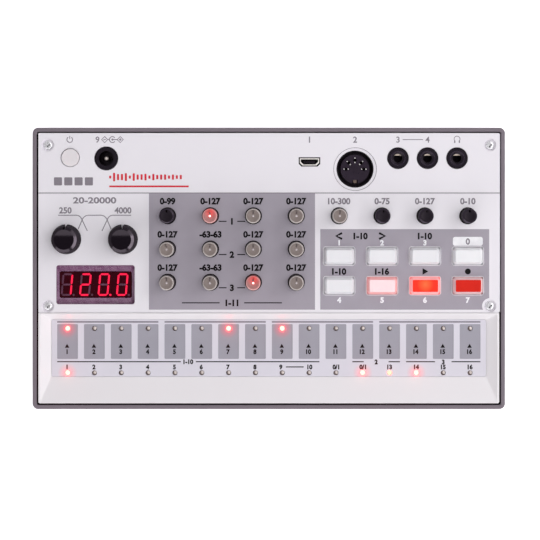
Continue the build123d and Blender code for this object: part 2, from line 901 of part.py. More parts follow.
def small_knob():
    """A slim knob with its stem, a shallow dish on top and a mark near the edge."""
    stem_low = board_top + pot_floor + stem_end_gap
    low = pot_top + knob_lift
    top = panel_top + knob_rise
    body = bevelled(knob_radius, knob_top_radius, knob_bevel_width, low, top - knob_bevel_drop, top)
    sphere = (knob_dish_radius**2 + knob_dish_depth**2) / (2 * knob_dish_depth)
    body -= Pos(0, 0, top - knob_dish_depth + sphere) * Sphere(sphere)
    outer = knob_top_radius - knob_mark_inset
    body -= block(
        -knob_mark_width / 2, knob_mark_width / 2, outer - knob_mark_length, outer,
        top - knob_mark_depth, top + overrun,
    )
    return body + disc(0, 0, stem_low, low, stem_radius)


def isolator_pots():
    """The two larger potentiometers under the isolator knobs."""
    pot = bar(0, 0, board_top, panel_low - isolator_pot_air, isolator_pot_size, isolator_pot_size)
    pot -= disc(0, 0, board_top + pot_floor, panel_low, isolator_shaft_radius + shaft_fit)
    return [Pos(x, isolator_y, 0) * pot for x in (bass_x, treble_x)]


def isolator_shaft():
    """The flatted shaft between a potentiometer and its knob."""
    low = board_top + pot_floor + stem_end_gap
    high = panel_top + isolator_knob_height - isolator_cap
    shaft = disc(0, 0, low, high, isolator_shaft_radius)
    flat = isolator_shaft_radius - isolator_shaft_flat
    flat_low = panel_top + isolator_lift + isolator_cap
    return shaft - block(
        -isolator_shaft_radius, isolator_shaft_radius, flat, isolator_shaft_radius, flat_low, high
    )


def isolator_knob():
    """A tapered knob with a bore for the flatted shaft and a notch that marks its rear side."""
    low = panel_top + isolator_lift
    top = panel_top + isolator_knob_height
    shoulder = top - isolator_bevel_drop
    knob = bevelled(isolator_radius, isolator_top_radius, isolator_bevel_width, low, shoulder, top)
    bore = isolator_shaft_radius + shaft_fit
    hollow = disc(0, 0, low, top - isolator_cap, bore)
    flat = isolator_shaft_radius - isolator_shaft_flat + shaft_fit
    hollow -= block(-bore, bore, flat, bore, low + isolator_cap + shaft_fit, top)
    knob -= hollow
    half = isolator_mark_width / 2
    return knob - block(-half, half, isolator_top_radius - isolator_mark_depth, isolator_radius, low, top)


def chamfered(width, depth, chamfer):
    """A rectangle with its corners cut off."""
    x = width / 2
    y = depth / 2
    points = [
        (-x + chamfer, -y), (x - chamfer, -y), (x, -y + chamfer), (x, y - chamfer),
        (x - chamfer, y), (-x + chamfer, y), (-x, y - chamfer), (-x, -y + chamfer),
    ]
    return Polygon(*points, align=None)


def key_cap():
    """A sloping key with a flange that stops it under the panel and a plunger for its switch."""
    flange_top = panel_low - key_flange_gap
    flange_low = flange_top - key_flange
    top = panel_top + key_rise
    foot = chamfered(key_width, key_depth, key_chamfer)
    crown = chamfered(key_width - 2 * key_side_slope, key_depth - 2 * key_end_slope, key_top_chamfer)
    cap = extrude(Pos(0, 0, flange_top) * foot, panel_top - flange_top)
    cap += loft([(Pos(0, 0, panel_top) * foot).face(), (Pos(0, 0, top) * crown).face()], ruled=True)
    cap += bar(0, 0, flange_low, flange_top, key_flange_width, key_flange_depth)
    return cap + disc(0, 0, flange_low - key_plunger, flange_low, key_plunger_radius)


def key_switches():
    """A push switch under each key, low enough for the key's full travel."""
    top = panel_low - key_flange_gap - key_flange - key_plunger - key_travel - press_gap
    body_top = top - key_switch_button
    switch = bar(0, 0, board_top, body_top, key_switch_size, key_switch_size)
    switch += disc(0, 0, body_top, top, key_switch_button_radius)
    return [Pos(x, y, 0) * switch for x, y in key_places.values()]


def power_button():
    """The round power button with its flange and stem."""
    flange_top = panel_low - key_flange_gap
    flange_low = flange_top - key_flange
    cap = disc(power_x, power_y, flange_top, panel_top + power_proud, power_radius)
    cap = fillet(cap.edges().sort_by(Axis.Z)[-1], power_round)
    cap += disc(power_x, power_y, flange_low, flange_top, power_radius + power_hole_gap + power_lip)
    cap += disc(power_x, power_y, flange_low - power_stem_length, flange_low, power_stem_radius)
    return cap


def power_switch():
    """The push switch under the power button, on the main board."""
    top = panel_low - key_flange_gap - key_flange - power_stem_length - power_travel - press_gap
    body_top = top - power_switch_button
    body = bar(power_x, power_y, main_top, body_top, power_switch_size, power_switch_size)
    return body + disc(power_x, power_y, body_top, top, power_switch_button_radius)


def dc_jack():
    """The power inlet: a body on the main board and a collar, with one flat, in the panel's hole."""
    body = bar(inlet_x, inlet_y, main_top, shoulder_top, inlet_body_width, inlet_body_depth)
    collar = disc(inlet_x, inlet_y, shoulder_top, socket_top, inlet_radius)
    collar -= block(
        inlet_x - inlet_radius, inlet_x - inlet_flat, inlet_y - inlet_radius, inlet_y + inlet_radius,
        shoulder_top, socket_top,
    )
    floor_z = socket_top - inlet_bore_depth
    body += collar
    body -= disc(inlet_x, inlet_y, floor_z, socket_top, inlet_bore_radius)
    return body - disc(inlet_x, inlet_y, floor_z - inlet_pin_root, floor_z, inlet_pin_radius)


def dc_pin():
    """The centre pin of the power inlet, set into the floor of its bore."""
    floor_z = socket_top - inlet_bore_depth
    pin = disc(inlet_x, inlet_y, floor_z - inlet_pin_root, socket_top - inlet_pin_drop, inlet_pin_radius)
    return fillet(pin.edges().sort_by(Axis.Z)[-1], inlet_pin_round)


def mini_jacks():
    """Three small jacks, each with a round collar and a bore with a bevelled mouth."""
    jack = bar(0, 0, main_top, shoulder_top, jack_body_width, jack_body_depth)
    jack += disc(0, 0, shoulder_top, socket_top, jack_radius)
    jack -= disc(0, 0, socket_top - jack_bore_depth, socket_top, jack_bore_radius)
    bevel = Cone(jack_bore_radius, jack_mouth_radius, jack_mouth_depth)
    jack -= Pos(0, 0, socket_top - jack_mouth_depth / 2) * bevel
    return [Pos(x, socket_y, 0) * jack for x in jacks_x]


def din_socket():
    """The round socket: an outer cup and an insert with five holes and a key notch."""
    floor_z = main_top + round_base
    insert_top = panel_top - round_insert_drop
    cup = disc(round_x, round_y, main_top, shoulder_top, round_body_radius)
    cup -= disc(round_x, round_y, floor_z, shoulder_top, shield_radius + shield_fit)
    insert = disc(0, 0, floor_z, insert_top, round_insert_radius)
    hole = disc(pole_ring_radius, 0, insert_top - pole_depth, insert_top, pole_hole_radius)
    hole += bar(pole_ring_radius, 0, insert_top - pole_depth, insert_top, pole_slot_length, pole_slot_width)
    cuts = [Rot(0, 0, i * pole_arc_angle / (pole_count - 1)) * hole for i in range(pole_count)]
    half = key_notch_width / 2
    notch_rear = key_notch_depth - round_insert_radius
    cuts.append(block(-half, half, -round_insert_radius, notch_rear, floor_z, insert_top))
    return cup + Pos(round_x, round_y, 0) * (insert - cuts)


def din_shield():
    """The metal ring that stands in the round socket's cup."""
    floor_z = main_top + round_base
    ring = disc(round_x, round_y, floor_z, panel_top - shield_drop, shield_radius)
    return ring - disc(round_x, round_y, floor_z, panel_top, shield_radius - shield_thickness)


def usb_socket():
    """The upright data socket, a metal shell that ends just under the panel's top."""
    top = panel_top - data_shell_drop
    shell = data_prism(data_shell_gap, main_top, top)
    return shell - data_prism(data_shell_gap + data_shell_wall, top - data_pocket, top)


def usb_tongue():
    """The contact tongue in the data socket."""
    top = panel_top - data_shell_drop
    return bar(data_x, data_y, top - data_pocket, top - tongue_drop, tongue_width, tongue_depth)


def panel_screws():
    """Four screws through the panel into the corner posts, the front two through the bezel's ears."""
    length = panel_screw_length - panel_screw_seat
    shape = screw(panel_screw_head, panel_screw_head_height, panel_screw_radius, length)
    return set_screws(shape, panel_top - panel_screw_seat, corner_posts, True)


def case_screws():
    """Two long screws from below that pull the bezel down."""
    shape = screw(case_screw_head, case_screw_head_height, case_screw_radius, case_screw_length)
    return set_screws(shape, case_screw_seat, case_posts, False)


def board_screws():
    """The small screws that hold the three boards."""
    length = board_thickness + board_screw_bite - screw_gap
    shape = screw(board_screw_head, board_screw_head_height, board_screw_radius, length)
    main_screws = set_screws(shape, main_top, main_posts, True)
    panel_board_screws = set_screws(shape, board_low, standoffs, False)
    return main_screws + panel_board_screws + set_screws(shape, touch_low, touch_screws, False)


builders = {
    "bottom_case": bottom_case,
    "rubber_feet": rubber_feet,
    "battery_door": battery_door,
    "batteries": batteries,
    "battery_contacts": battery_contacts,
    "front_bezel": front_bezel,
    "touch_strip": touch_strip,
    "step_leds": step_leds,
    "touch_board": touch_board,
    "main_board": main_board,
    "panel_board": panel_board,
    "board_header": board_header,
    "processor_chip": processor_chip,
    "control_panel": control_panel,
    "display_window": display_window,
    "display_module": display_module,
    "display_segments": display_segments,
    "slim_pots": slim_pots,
    "isolator_pots": isolator_pots,
    "key_switches": key_switches,
    "power_button": power_button,
    "power_switch": power_switch,
    "dc_jack": dc_jack,
    "dc_pin": dc_pin,
    "mini_jacks": mini_jacks,
    "din_socket": din_socket,
    "din_shield": din_shield,
    "usb_socket": usb_socket,
    "usb_tongue": usb_tongue,
    "panel_screws": panel_screws,
    "case_screws": case_screws,
    "board_screws": board_screws,
}

parts = {name: build() for name, build in builders.items()}
shaft_shape = isolator_shaft()
large_knob_shape = isolator_knob()
for side, x in (("bass", bass_x), ("treble", treble_x)):
    parts[side + "_shaft"] = Pos(x, isolator_y, 0) * shaft_shape
    parts[side + "_knob"] = Pos(x, isolator_y, 0) * large_knob_shape
small_knob_shape = small_knob()
for name, (x, y) in knob_places.items():
    parts[name + "_knob"] = Pos(x, y, 0) * Rot(0, 0, knob_angles.get(name, 0)) * small_knob_shape
key_shape = key_cap()
for name, (x, y) in key_places.items():
    parts[name + "_key"] = Pos(x, y, 0) * key_shape

os.makedirs("parts", exist_ok=True)
for name, shape in parts.items():
    if isinstance(shape, list):
        shape = Compound([solid for piece in shape for solid in piece.solids()])
    export_step(shape, f"parts/{name}.step")
print(f"{len(parts)} parts, {case_width:.1f} x {case_depth:.1f} x {panel_top + isolator_knob_height:.1f} mm")
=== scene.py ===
"""Dresses the sample sequencer: prints, lamps, finishes, floor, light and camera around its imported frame."""
import math

import bmesh
import bpy
from bpy.props import FloatProperty, FloatVectorProperty, PointerProperty
from bpy.types import Operator, Panel, PropertyGroup
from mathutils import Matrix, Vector


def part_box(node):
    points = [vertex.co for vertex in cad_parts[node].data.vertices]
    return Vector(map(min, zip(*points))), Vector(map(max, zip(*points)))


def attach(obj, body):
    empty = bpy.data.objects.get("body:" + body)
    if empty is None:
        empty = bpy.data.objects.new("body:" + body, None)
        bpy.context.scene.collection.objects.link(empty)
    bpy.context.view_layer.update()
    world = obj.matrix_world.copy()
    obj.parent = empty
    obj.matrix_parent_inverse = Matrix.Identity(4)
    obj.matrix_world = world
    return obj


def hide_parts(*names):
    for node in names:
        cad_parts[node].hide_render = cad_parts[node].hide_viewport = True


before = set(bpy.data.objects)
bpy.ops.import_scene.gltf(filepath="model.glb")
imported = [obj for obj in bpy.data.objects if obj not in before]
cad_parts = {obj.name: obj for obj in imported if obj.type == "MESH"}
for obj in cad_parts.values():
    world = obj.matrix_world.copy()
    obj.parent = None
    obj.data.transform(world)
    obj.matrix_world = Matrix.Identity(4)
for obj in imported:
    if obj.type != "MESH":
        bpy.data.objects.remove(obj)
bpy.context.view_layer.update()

bl_info = {
    "name": "Sample sequencer",
    "version": (1, 0, 0),
    "blender": (4, 5, 0),
    "location": "View3D > Sidebar > Sequencer",
    "description": "Prints, lamps, finishes and stage of the sample sequencer",
    "category": "Object",
}

mm = 0.001
body = "housing"

# How the bench works: what counts as level, as smooth and as one point, and a digit's share of a font's size.
level_share, tilted_share = 0.99, 0.9
smooth_angle = math.radians(40)
merge_gap = 0.001 * mm
cut_gap = 0.0001 * mm
digit_share = 0.7

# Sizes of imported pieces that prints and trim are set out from.
screw_radius = 2.2 * mm
jack_radius = 4.25 * mm

# Which controls are which.
black_knobs = ("sample_knob", "swing_knob", "mix_knob", "volume_knob")
lit_knobs = ("start_knob", "amp_attack_knob")
clear_knobs = ("length_knob", "cut_knob", "tempo_knob", "speed_knob", "pitch_depth_knob", "pitch_attack_knob",
               "pitch_decay_knob", "level_knob", "pan_knob", "amp_decay_knob")
tall_knobs = ("bass_knob", "treble_knob")
white_keys = ("part_down_key", "part_up_key", "mute_key", "func_key", "memory_key")
coloured_keys = ("step_key", "play_key", "record_key")

# What is lit: counted from the left, from 1.
pad_count = 16
lit_steps = (1, 7, 9)
lit_parts = (1, 12, 14)
amber_parts = (13,)
reading = ("1", "2", "0.", "0")
bars_of = {"0": "abcdef", "1": "bc", "2": "abdeg"}
bar_at = {(0, 2): "a", (1, 1): "b", (1, -1): "c", (0, -2): "d", (-1, -1): "e", (-1, 1): "f", (0, 0): "g"}

# Numbers printed by the knobs and keys.
field_knobs = ("sample_knob", "start_knob", "length_knob", "cut_knob", "speed_knob", "pitch_depth_knob",
               "pitch_attack_knob", "pitch_decay_knob", "level_knob", "pan_knob", "amp_attack_knob",
               "amp_decay_knob")
common_range = "0-127"
other_ranges = {"sample_knob": "0-99", "pitch_depth_knob": "-63-63", "pan_knob": "-63-63"}
plain_ranges = {"tempo_knob": "10-300", "swing_knob": "0-75", "mix_knob": "0-127", "volume_knob": "0-10"}
knob_rows = {"start_knob": "1", "pitch_depth_knob": "2", "pan_knob": "3"}
upper_key_numbers = {"mute_key": "1-10", "memory_key": "1-10", "step_key": "1-16"}
key_arrows = {"part_down_key": -1, "part_up_key": 1}
key_second_numbers = {"part_down_key": "1", "part_up_key": "2", "mute_key": "3"}
lower_key_numbers = {"memory_key": "4", "step_key": "5", "play_key": "6", "record_key": "7"}


def line_of(value):
    """One 8-bit screen value as linear light."""
    share = value / 255
    return share / 12.92 if share <= 0.04045 else ((share + 0.055) / 1.055) ** 2.4


def tint(red, green, blue):
    """A linear colour from 8-bit screen values."""
    return line_of(red), line_of(green), line_of(blue)


def length_of(name, description, default):
    """A length that a user may change, its default in millimetres."""
    return FloatProperty(name=name, description=description, default=default * mm, unit="LENGTH", precision=5)


def point_of(name, description, *default):
    """A point of the panel that a user may change, its default in millimetres."""
    return FloatVectorProperty(name=name, description=description, default=[part * mm for part in default],
                               size=2, subtype="XYZ", unit="LENGTH")


def colour_of(name, description, default):
    """A colour that a user may change."""
    return FloatVectorProperty(name=name, description=description, default=default, subtype="COLOR", size=3,
                               min=0, max=1)


def share_of(name, description, default):
    """A plain number that a user may change."""
    return FloatProperty(name=name, description=description, default=default, min=0)


class SequencerSizes(PropertyGroup):
    """Sizes of the prints and small trim."""
    ink: length_of("Ink", "Thickness of a printed mark", 0.03)
    film: length_of("Film", "Thickness of a printed field", 0.015)
    label_height: length_of("Label height", "Height of the numbers beside the controls", 2.4)
    small_height: length_of("Small label height", "Height of the numbers on the strip", 1.75)
    line: length_of("Line", "Width of a printed line", 0.42)
    broad_line: length_of("Broad line", "Width of the lines over the pads", 0.62)
    fine_line: length_of("Fine line", "Width of the lines of a sign", 0.36)
    label_rise: length_of("Label rise", "From a knob's centre to its numbers", 6.0)
    pip_radius: length_of("Pip radius", "Radius of the point in the middle of a clear knob", 0.44)
    pip_height: length_of("Pip height", "Height of that point", 0.22)
    lamp_radius: length_of("Lamp radius", "Radius of a lamp's lens", 0.975)
    lamp_crown: length_of("Lamp crown", "Height of a lens's round top", 0.8)
    key_rim: length_of("Key rim", "Bare rim of the panel round a key's hole", 0.3)
    # The black sheet in the gap between panel and case paints the shadow there; this is its height.
    seal: length_of("Seal", "Height of the seal between panel and case", 0.7)


class SequencerColours(PropertyGroup):
    """Colours of the finishes and inks."""
    case: colour_of("Case", "Case tub", tint(122, 112, 121))
    panel: colour_of("Panel", "Control panel", tint(240, 236, 242))
    bezel: colour_of("Bezel", "Frame around the strip", tint(244, 240, 243))
    field: colour_of("Field", "Printed fields on the panel", tint(167, 160, 171))
    strip: colour_of("Strip", "Touch sheet", tint(222, 218, 228))
    pad: colour_of("Pad", "Printed pads", tint(163, 160, 171))
    black_ink: colour_of("Black ink", "Dark marks", tint(9, 7, 10))
    grey_ink: colour_of("Grey ink", "Marks on the white panel", tint(138, 131, 140))
    line_ink: colour_of("Line ink", "Lines over the pads", tint(136, 130, 141))
    white_ink: colour_of("White ink", "Marks on the grey fields", tint(246, 245, 250))
    red_ink: colour_of("Red ink", "Row of bars behind the display", tint(214, 48, 62))
    clear_knob: colour_of("Clear knob", "Smoky knobs", tint(136, 124, 120))
    # The lighter sloping edge of a smoky knob is a painted highlight, and its dark side painted shade.
    clear_edge: colour_of("Clear knob edge", "Sloping edge of a smoky knob", tint(186, 177, 174))
    clear_side: colour_of("Clear knob side", "Side of a smoky knob", tint(58, 49, 48))
    # A lit knob's pinker colour and the red spot over its lamp are painted lamp light, and its lighter sloping
    # edge a painted highlight.
    lit_knob: colour_of("Lit knob", "Knobs with a lamp below", tint(170, 124, 122))
    lit_spot: colour_of("Lit spot", "Place on such a knob over its lamp", tint(244, 84, 82))
    lit_edge: colour_of("Lit knob edge", "Sloping edge of such a knob", tint(214, 164, 162))
    black_knob: colour_of("Black knob", "Black knobs", tint(12, 8, 16))
    violet: colour_of("Violet", "Tint in the gloss of black plastic", (1.0, 0.84, 1.0))
    key: colour_of("Key", "White keys", tint(244, 243, 247))
    # The pink face and edges of the lit keys are painted lamp light, besides their glow.
    lit_key: colour_of("Lit key", "Key with a faint lamp below", tint(252, 232, 236))
    lit_key_edge: colour_of("Lit key edge", "Edges of the lit keys", tint(254, 188, 188))
    red_key: colour_of("Red key", "Red face of the record key", tint(222, 36, 22))
    lamp_glow: colour_of("Lamp glow", "Light of the lit lamps", (1.0, 0.07, 0.055))
    amber_glow: colour_of("Amber glow", "Light of the amber lamp", (1.0, 0.14, 0.1))
    bar_glow: colour_of("Bar glow", "Light of the display bars", (1.0, 0.03, 0.07))
    window: colour_of("Window", "Tint of the display window", tint(176, 130, 164))
    floor: colour_of("Floor", "Floor under the part", tint(250, 250, 251))


class SequencerLight(PropertyGroup):
    """Strengths of the lamps and of the studio light."""
    lamp: share_of("Lamp", "Strength of a lit lamp", 12.0)
    bar: share_of("Bar", "Strength of a lit display bar", 2.2)
    knob: share_of("Knob", "Strength of a lit knob", 0.05)
    key_lamp: share_of("Key lamp", "Strength of the lit keys", 0.3)
    floor: share_of("Floor", "Light that the floor gives back by itself", 0.6)
    sky: share_of("Sky", "Strength of the light from all round", 0.44)
    sky_top: share_of("Sky top", "Share of it straight overhead", 0.28)
    key: share_of("Key", "Power of the large light at the right, in watts", 2.6)
    fill: share_of("Fill", "Power of the wide light at the front, in watts", 3.7)
    side: share_of("Side", "Power of the long light at the right, in watts", 4.3)
    top: share_of("Top", "Power of the small sheet of light overhead, in watts", 0.13)
    high: share_of("High", "Power of the sheet of light high at the right, in watts", 0.3)
    over: share_of("Over", "Power of the soft light overhead, which no gloss shows, in watts", 1.7)
    bloom: share_of("Bloom", "Strength of the halo round what is lit", 1.6)


class SequencerView(PropertyGroup):
    """Where the camera stands, and what it takes in."""
    foot: point_of("Foot", "Point of the panel that the camera stands over", 2.0, 29.0)
    middle: point_of("Middle", "Point of the panel in the middle of the picture", 0.49, -0.61)
    height: length_of("Height", "Height of the camera over the panel", 711.0)
    width: length_of("Width", "Width of panel that the picture takes in", 220.3)


def chosen(context, *names):
    """Groups of settings, as the user has left them."""
    return [getattr(context.scene, "sequencer_" + name) for name in names]


# Tools of the bench.

def deselect():
    """Goes to object mode with nothing selected."""
    if bpy.context.object and bpy.context.object.mode != "OBJECT":
        bpy.ops.object.mode_set(mode="OBJECT")
    bpy.ops.object.select_all(action="DESELECT")


def pick(*pieces):
    """Selects these pieces alone. The first is the active one."""
    deselect()
    for piece in pieces:
        piece.select_set(True)
    bpy.context.view_layer.objects.active = pieces[0]


def open_mesh(piece):
    """Opens a piece in edit mode, all selected."""
    pick(piece)
    bpy.ops.object.mode_set(mode="EDIT")
    bpy.ops.mesh.select_mode(type="FACE")
    bpy.ops.mesh.select_all(action="SELECT")


def close_mesh(smooth=False):
    """Leaves edit mode, with every face pointing outwards, and shades a round piece smooth."""
    bpy.ops.mesh.select_all(action="SELECT")
    bpy.ops.mesh.normals_make_consistent(inside=False)
    bpy.ops.object.mode_set(mode="OBJECT")
    if smooth:
        bpy.ops.object.shade_smooth_by_angle(angle=smooth_angle)


def apply_place(piece):
    """Puts a piece's place, turn and scale into its mesh."""
    pick(piece)
    bpy.ops.object.transform_apply(location=True, rotation=True, scale=True)


def open_new(scale=(1, 1, 1)):
    """The primitive that was just added, brought to its scale and open in edit mode."""
    piece = bpy.context.object
    piece.scale = scale
    apply_place(piece)
    open_mesh(piece)
    return piece


def choose(piece, kind, test):
    """Selects the parts of an open mesh that pass a test: its verts, edges or faces."""
    bpy.ops.mesh.select_all(action="DESELECT")
    mesh = bmesh.from_edit_mesh(piece.data)
    found = [part for part in getattr(mesh, kind) if test(part)]
    if not found:
        raise RuntimeError("nothing to select on " + piece.name)
    for part in found:
        part.select_set(True)
    bmesh.update_edit_mesh(piece.data)


def rise(height):
    """Extrudes what is selected upwards."""
    bpy.ops.mesh.extrude_region_move(TRANSFORM_OT_translate={"value": (0, 0, height)})


def slice_off(point, normal, fill=False):
    """Cuts what is selected by a plane, and takes away the side that the normal points to."""
    bpy.ops.mesh.bisect(plane_co=point, plane_no=normal, use_fill=fill, clear_outer=True, threshold=cut_gap)


def cut(piece, *cutters):
    """Takes other solids out of a piece."""
    for cutter in cutters:
        pick(piece)
        modifier = piece.modifiers.new("Cut", "BOOLEAN")
        modifier.object, modifier.operation, modifier.solver = cutter, "DIFFERENCE", "EXACT"
        bpy.ops.object.modifier_apply(modifier=modifier.name)
        bpy.data.objects.remove(cutter)


def join(pieces):
    """Joins pieces into the first of them."""
    pick(*pieces)
    if len(pieces) > 1:
        bpy.ops.object.join()
    return pieces[0]


def copy_of(piece, x, y):
    """A copy of a piece with its own mesh, moved by a step."""
    pick(piece)
    bpy.ops.object.duplicate(linked=False)
    twin = bpy.context.object
    bpy.ops.transform.translate(value=(x, y, 0))
    apply_place(twin)
    return twin


def settle(piece, name, rides, slot, material, *stands_for):
    """Finishes a piece: its name, its body, its material and the nodes it stands for. The slot is not used."""
    apply_place(piece)
    piece.name = name
    piece.data.name = name
    piece.data.materials.clear()
    piece.data.materials.append(material)
    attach(piece, rides)
    if stands_for:
        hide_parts(*stands_for)


def dress(material, *nodes):
    """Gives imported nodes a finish."""
    for node in nodes:
        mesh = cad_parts[node].data
        mesh.materials.clear()
        mesh.materials.append(material)


def middle(node):
    """The middle of a node's box."""
    low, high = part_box(node)
    return (low + high) / 2


def plan(node):
    """The middle of a node seen from above, in millimetres."""
    centre = middle(node)
    return centre.x / mm, centre.y / mm


def top_of(node):
    """The highest level of a node."""
    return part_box(node)[1].z


def extent(piece):
    """The lowest and the highest corner of a piece's mesh."""
    sides = list(zip(*(corner.co for corner in piece.data.vertices)))
    return Vector(min(side) for side in sides), Vector(max(side) for side in sides)


def ground_of(node, reach):
    """Level of the flat ground round the middle of a node, seen from above."""
    centre = middle(node)
    faces = [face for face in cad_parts[node].data.polygons
             if face.normal.z > tilted_share and (face.center.xy - centre.xy).length < reach]
    return min(faces, key=lambda face: (face.center.xy - centre.xy).length).center.z


def node_copy(node):
    """A merged copy of a node's mesh as a new piece, open in edit mode."""
    piece = bpy.data.objects.new(node + "_copy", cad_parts[node].data.copy())
    bpy.context.scene.collection.objects.link(piece)
    pick(piece)
    bpy.ops.mesh.customdata_custom_splitnormals_clear()
    open_mesh(piece)
    bpy.ops.mesh.remove_doubles(threshold=merge_gap)
    return piece


def film_of(node, level, thickness, box=None):
    """A printed field: the faces of a node at one level, cut to a box (left, right, front, rear)."""
    piece = node_copy(node)
    near = 0.02 * mm
    choose(piece, "faces", lambda face: (face.normal.z < level_share
                                         or abs(face.calc_center_median().z - level) > near))
    bpy.ops.mesh.delete(type="FACE")
    if box:
        left, right, front, rear = box
        cuts = (((left, 0, 0), (-1, 0, 0)), ((right, 0, 0), (1, 0, 0)),
                ((0, front, 0), (0, -1, 0)), ((0, rear, 0), (0, 1, 0)))
        for point, normal in cuts:
            bpy.ops.mesh.select_all(action="SELECT")
            slice_off(point, normal)
    bpy.ops.mesh.select_all(action="SELECT")
    rise(thickness)
    close_mesh()
    return piece


def lamp_points(radius):
    """Every lamp, as its kind and the top of its middle: the rear row first, each row from the left."""
    low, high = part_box("step_leds")
    pitch = (high.x - low.x - 2 * radius) / (pad_count - 1)
    for y, lit, amber in ((high.y - radius, lit_steps, ()), (low.y + radius, lit_parts, amber_parts)):
        for pad in range(1, pad_count + 1):
            kind = "lit" if pad in lit else "amber" if pad in amber else "dark"
            yield kind, Vector((low.x + radius + (pad - 1) * pitch, y, high.z))


def jack_places():
    """The middles of the three jacks, from the left."""
    low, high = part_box("mini_jacks")
    step = (high.x - low.x - 2 * jack_radius) / 2
    return [(low.x + jack_radius + jack * step, (low.y + high.y) / 2) for jack in range(3)]


# Flat shapes.

def write(words, x, y, level, height, ink, squeeze, weight):
    """Numbers, made a mesh and centred on a point of a surface."""
    deselect()
    bpy.ops.object.text_add()
    label = bpy.context.object
    label.data.body = words
    label.data.size = height / digit_share
    label.data.extrude = ink / 2
    label.data.offset = weight * height
    label.data.resolution_u = 4
    bpy.ops.object.convert(target="MESH")
    label = bpy.context.object
    low, high = extent(label)
    label.scale.x = squeeze
    label.location = (x - (low.x + high.x) / 2 * squeeze, y - height / 2, level + ink / 2)
    apply_place(label)
    return label


def patch(left, right, front, rear, level, thickness, corner=0.0):
    """A flat block, its corners rounded on request."""
    deselect()
    bpy.ops.mesh.primitive_plane_add(size=1, location=((left + right) / 2, (front + rear) / 2, level))
    piece = open_new((right - left, rear - front, 1))
    if corner:
        bpy.ops.mesh.bevel(offset=corner, segments=5, affect="VERTICES")
        bpy.ops.mesh.select_all(action="SELECT")
    rise(thickness)
    close_mesh()
    return piece


def spot(x, y, radius, level, thickness, sides=32, turn=0.0):
    """A flat disc, or a regular shape with fewer sides."""
    deselect()
    bpy.ops.mesh.primitive_circle_add(vertices=sides, radius=radius, fill_type="NGON", location=(x, y, level),
                                      rotation=(0, 0, turn))
    piece = open_new()
    rise(thickness)
    close_mesh()
    return piece


def stroke(points, level, width, ink, smooth=False, closed=False):
    """A line through points."""
    line = bpy.data.curves.new("stroke", "CURVE")
    line.dimensions = "3D"
    line.bevel_depth = width / 2
    line.bevel_resolution = 1
    line.resolution_u = 10
    line.use_fill_caps = True
    run = line.splines.new("NURBS" if smooth else "POLY")
    run.points.add(len(points) - 1)
    for point, (x, y) in zip(run.points, points):
        point.co = (x, y, 0, 1)
    if smooth:
        run.order_u = 3
        run.use_endpoint_u = not closed
    run.use_cyclic_u = closed
    piece = bpy.data.objects.new("stroke", line)
    bpy.context.scene.collection.objects.link(piece)
    pick(piece)
    bpy.ops.object.convert(target="MESH")
    piece = bpy.context.object
    piece.scale.z = 2 * ink / width
    piece.location.z = level
    apply_place(piece)
    return piece


def arc_points(x, y, radius, start, end, steps):
    """Points along an arc, in degrees."""
    turns = [math.radians(start + (end - start) * step / steps) for step in range(steps + 1)]
    return [(x + radius * math.cos(turn), y + radius * math.sin(turn)) for turn in turns]


class Print:
    """Marks in one ink, which become one piece. Their plan is in millimetres, their levels are in metres."""

    def __init__(self, level, sizes, height, squeeze=1.0):
        self.level, self.sizes, self.marks = level, sizes, []
        self.height, self.squeeze = height / mm, squeeze

    def number(self, words, x, y, weight=0.075, height=None, squeeze=None):
        """A number, centred on a point."""
        height = (height or self.height) * mm
        self.marks.append(write(words, x * mm, y * mm, self.level, height, self.sizes.ink,
                                squeeze or self.squeeze, weight))

    def block(self, left, right, front, rear, corner=0.0, thickness=None):
        """A rectangle, its corners rounded on request."""
        self.marks.append(patch(left * mm, right * mm, front * mm, rear * mm, self.level,
                                thickness or self.sizes.ink, corner * mm))

    def rule(self, left, right, y, width=None):
        """A line from left to right."""
        half = (width or self.sizes.line / mm) / 2
        self.block(left, right, y - half, y + half)

    def flanked(self, words, x, y, left, right, gap, drop=0.0):
        """A number in the gap of a line."""
        self.number(words, x, y - drop)
        self.rule(left, x - gap, y)
        self.rule(x + gap, right, y)

    def disc(self, x, y, radius, sides=32, turn=0.0):
        """A disc, or a regular shape with fewer sides."""
        self.marks.append(spot(x * mm, y * mm, radius * mm, self.level, self.sizes.ink, sides, turn))

    def run(self, points, width, smooth=False, closed=False, lift=0.0):
        """A line through points, lifted over a film on request."""
        points = [(x * mm, y * mm) for x, y in points]
        self.marks.append(stroke(points, self.level + lift, width * mm, self.sizes.ink, smooth, closed))

    def finish(self, name, slot, material):
        """Makes the marks one piece of the housing."""
        settle(join(self.marks), name, body, slot, material)


# Round trim.

def dome(x, y, low, shoulder, top, radius, sides=24, rings=8):
    """A round-topped stud: half a ball on a short barrel."""
    deselect()
    bpy.ops.mesh.primitive_uv_sphere_add(segments=sides, ring_count=rings, radius=radius,
                                         location=(x, y, shoulder))
    piece = open_new((1, 1, (top - shoulder) / radius))
    slice_off((x, y, shoulder), (0, 0, -1), True)
    choose(piece, "faces", lambda face: face.normal.z < -level_share)
    rise(low - shoulder)
    close_mesh(smooth=True)
    return piece


def cup(x, y, low, top, radius, wall, depth):
    """A round contact tube, closed at its foot."""
    deselect()
    bpy.ops.mesh.primitive_circle_add(vertices=20, radius=radius, fill_type="NGON", location=(x, y, low))
    piece = open_new()
    rise(top - low)
    choose(piece, "faces", lambda face: (face.normal.z > level_share
                                         and face.calc_center_median().z > (low + top) / 2))
    bpy.ops.mesh.inset(thickness=wall)
    rise(-depth)
    close_mesh(smooth=True)
    return piece


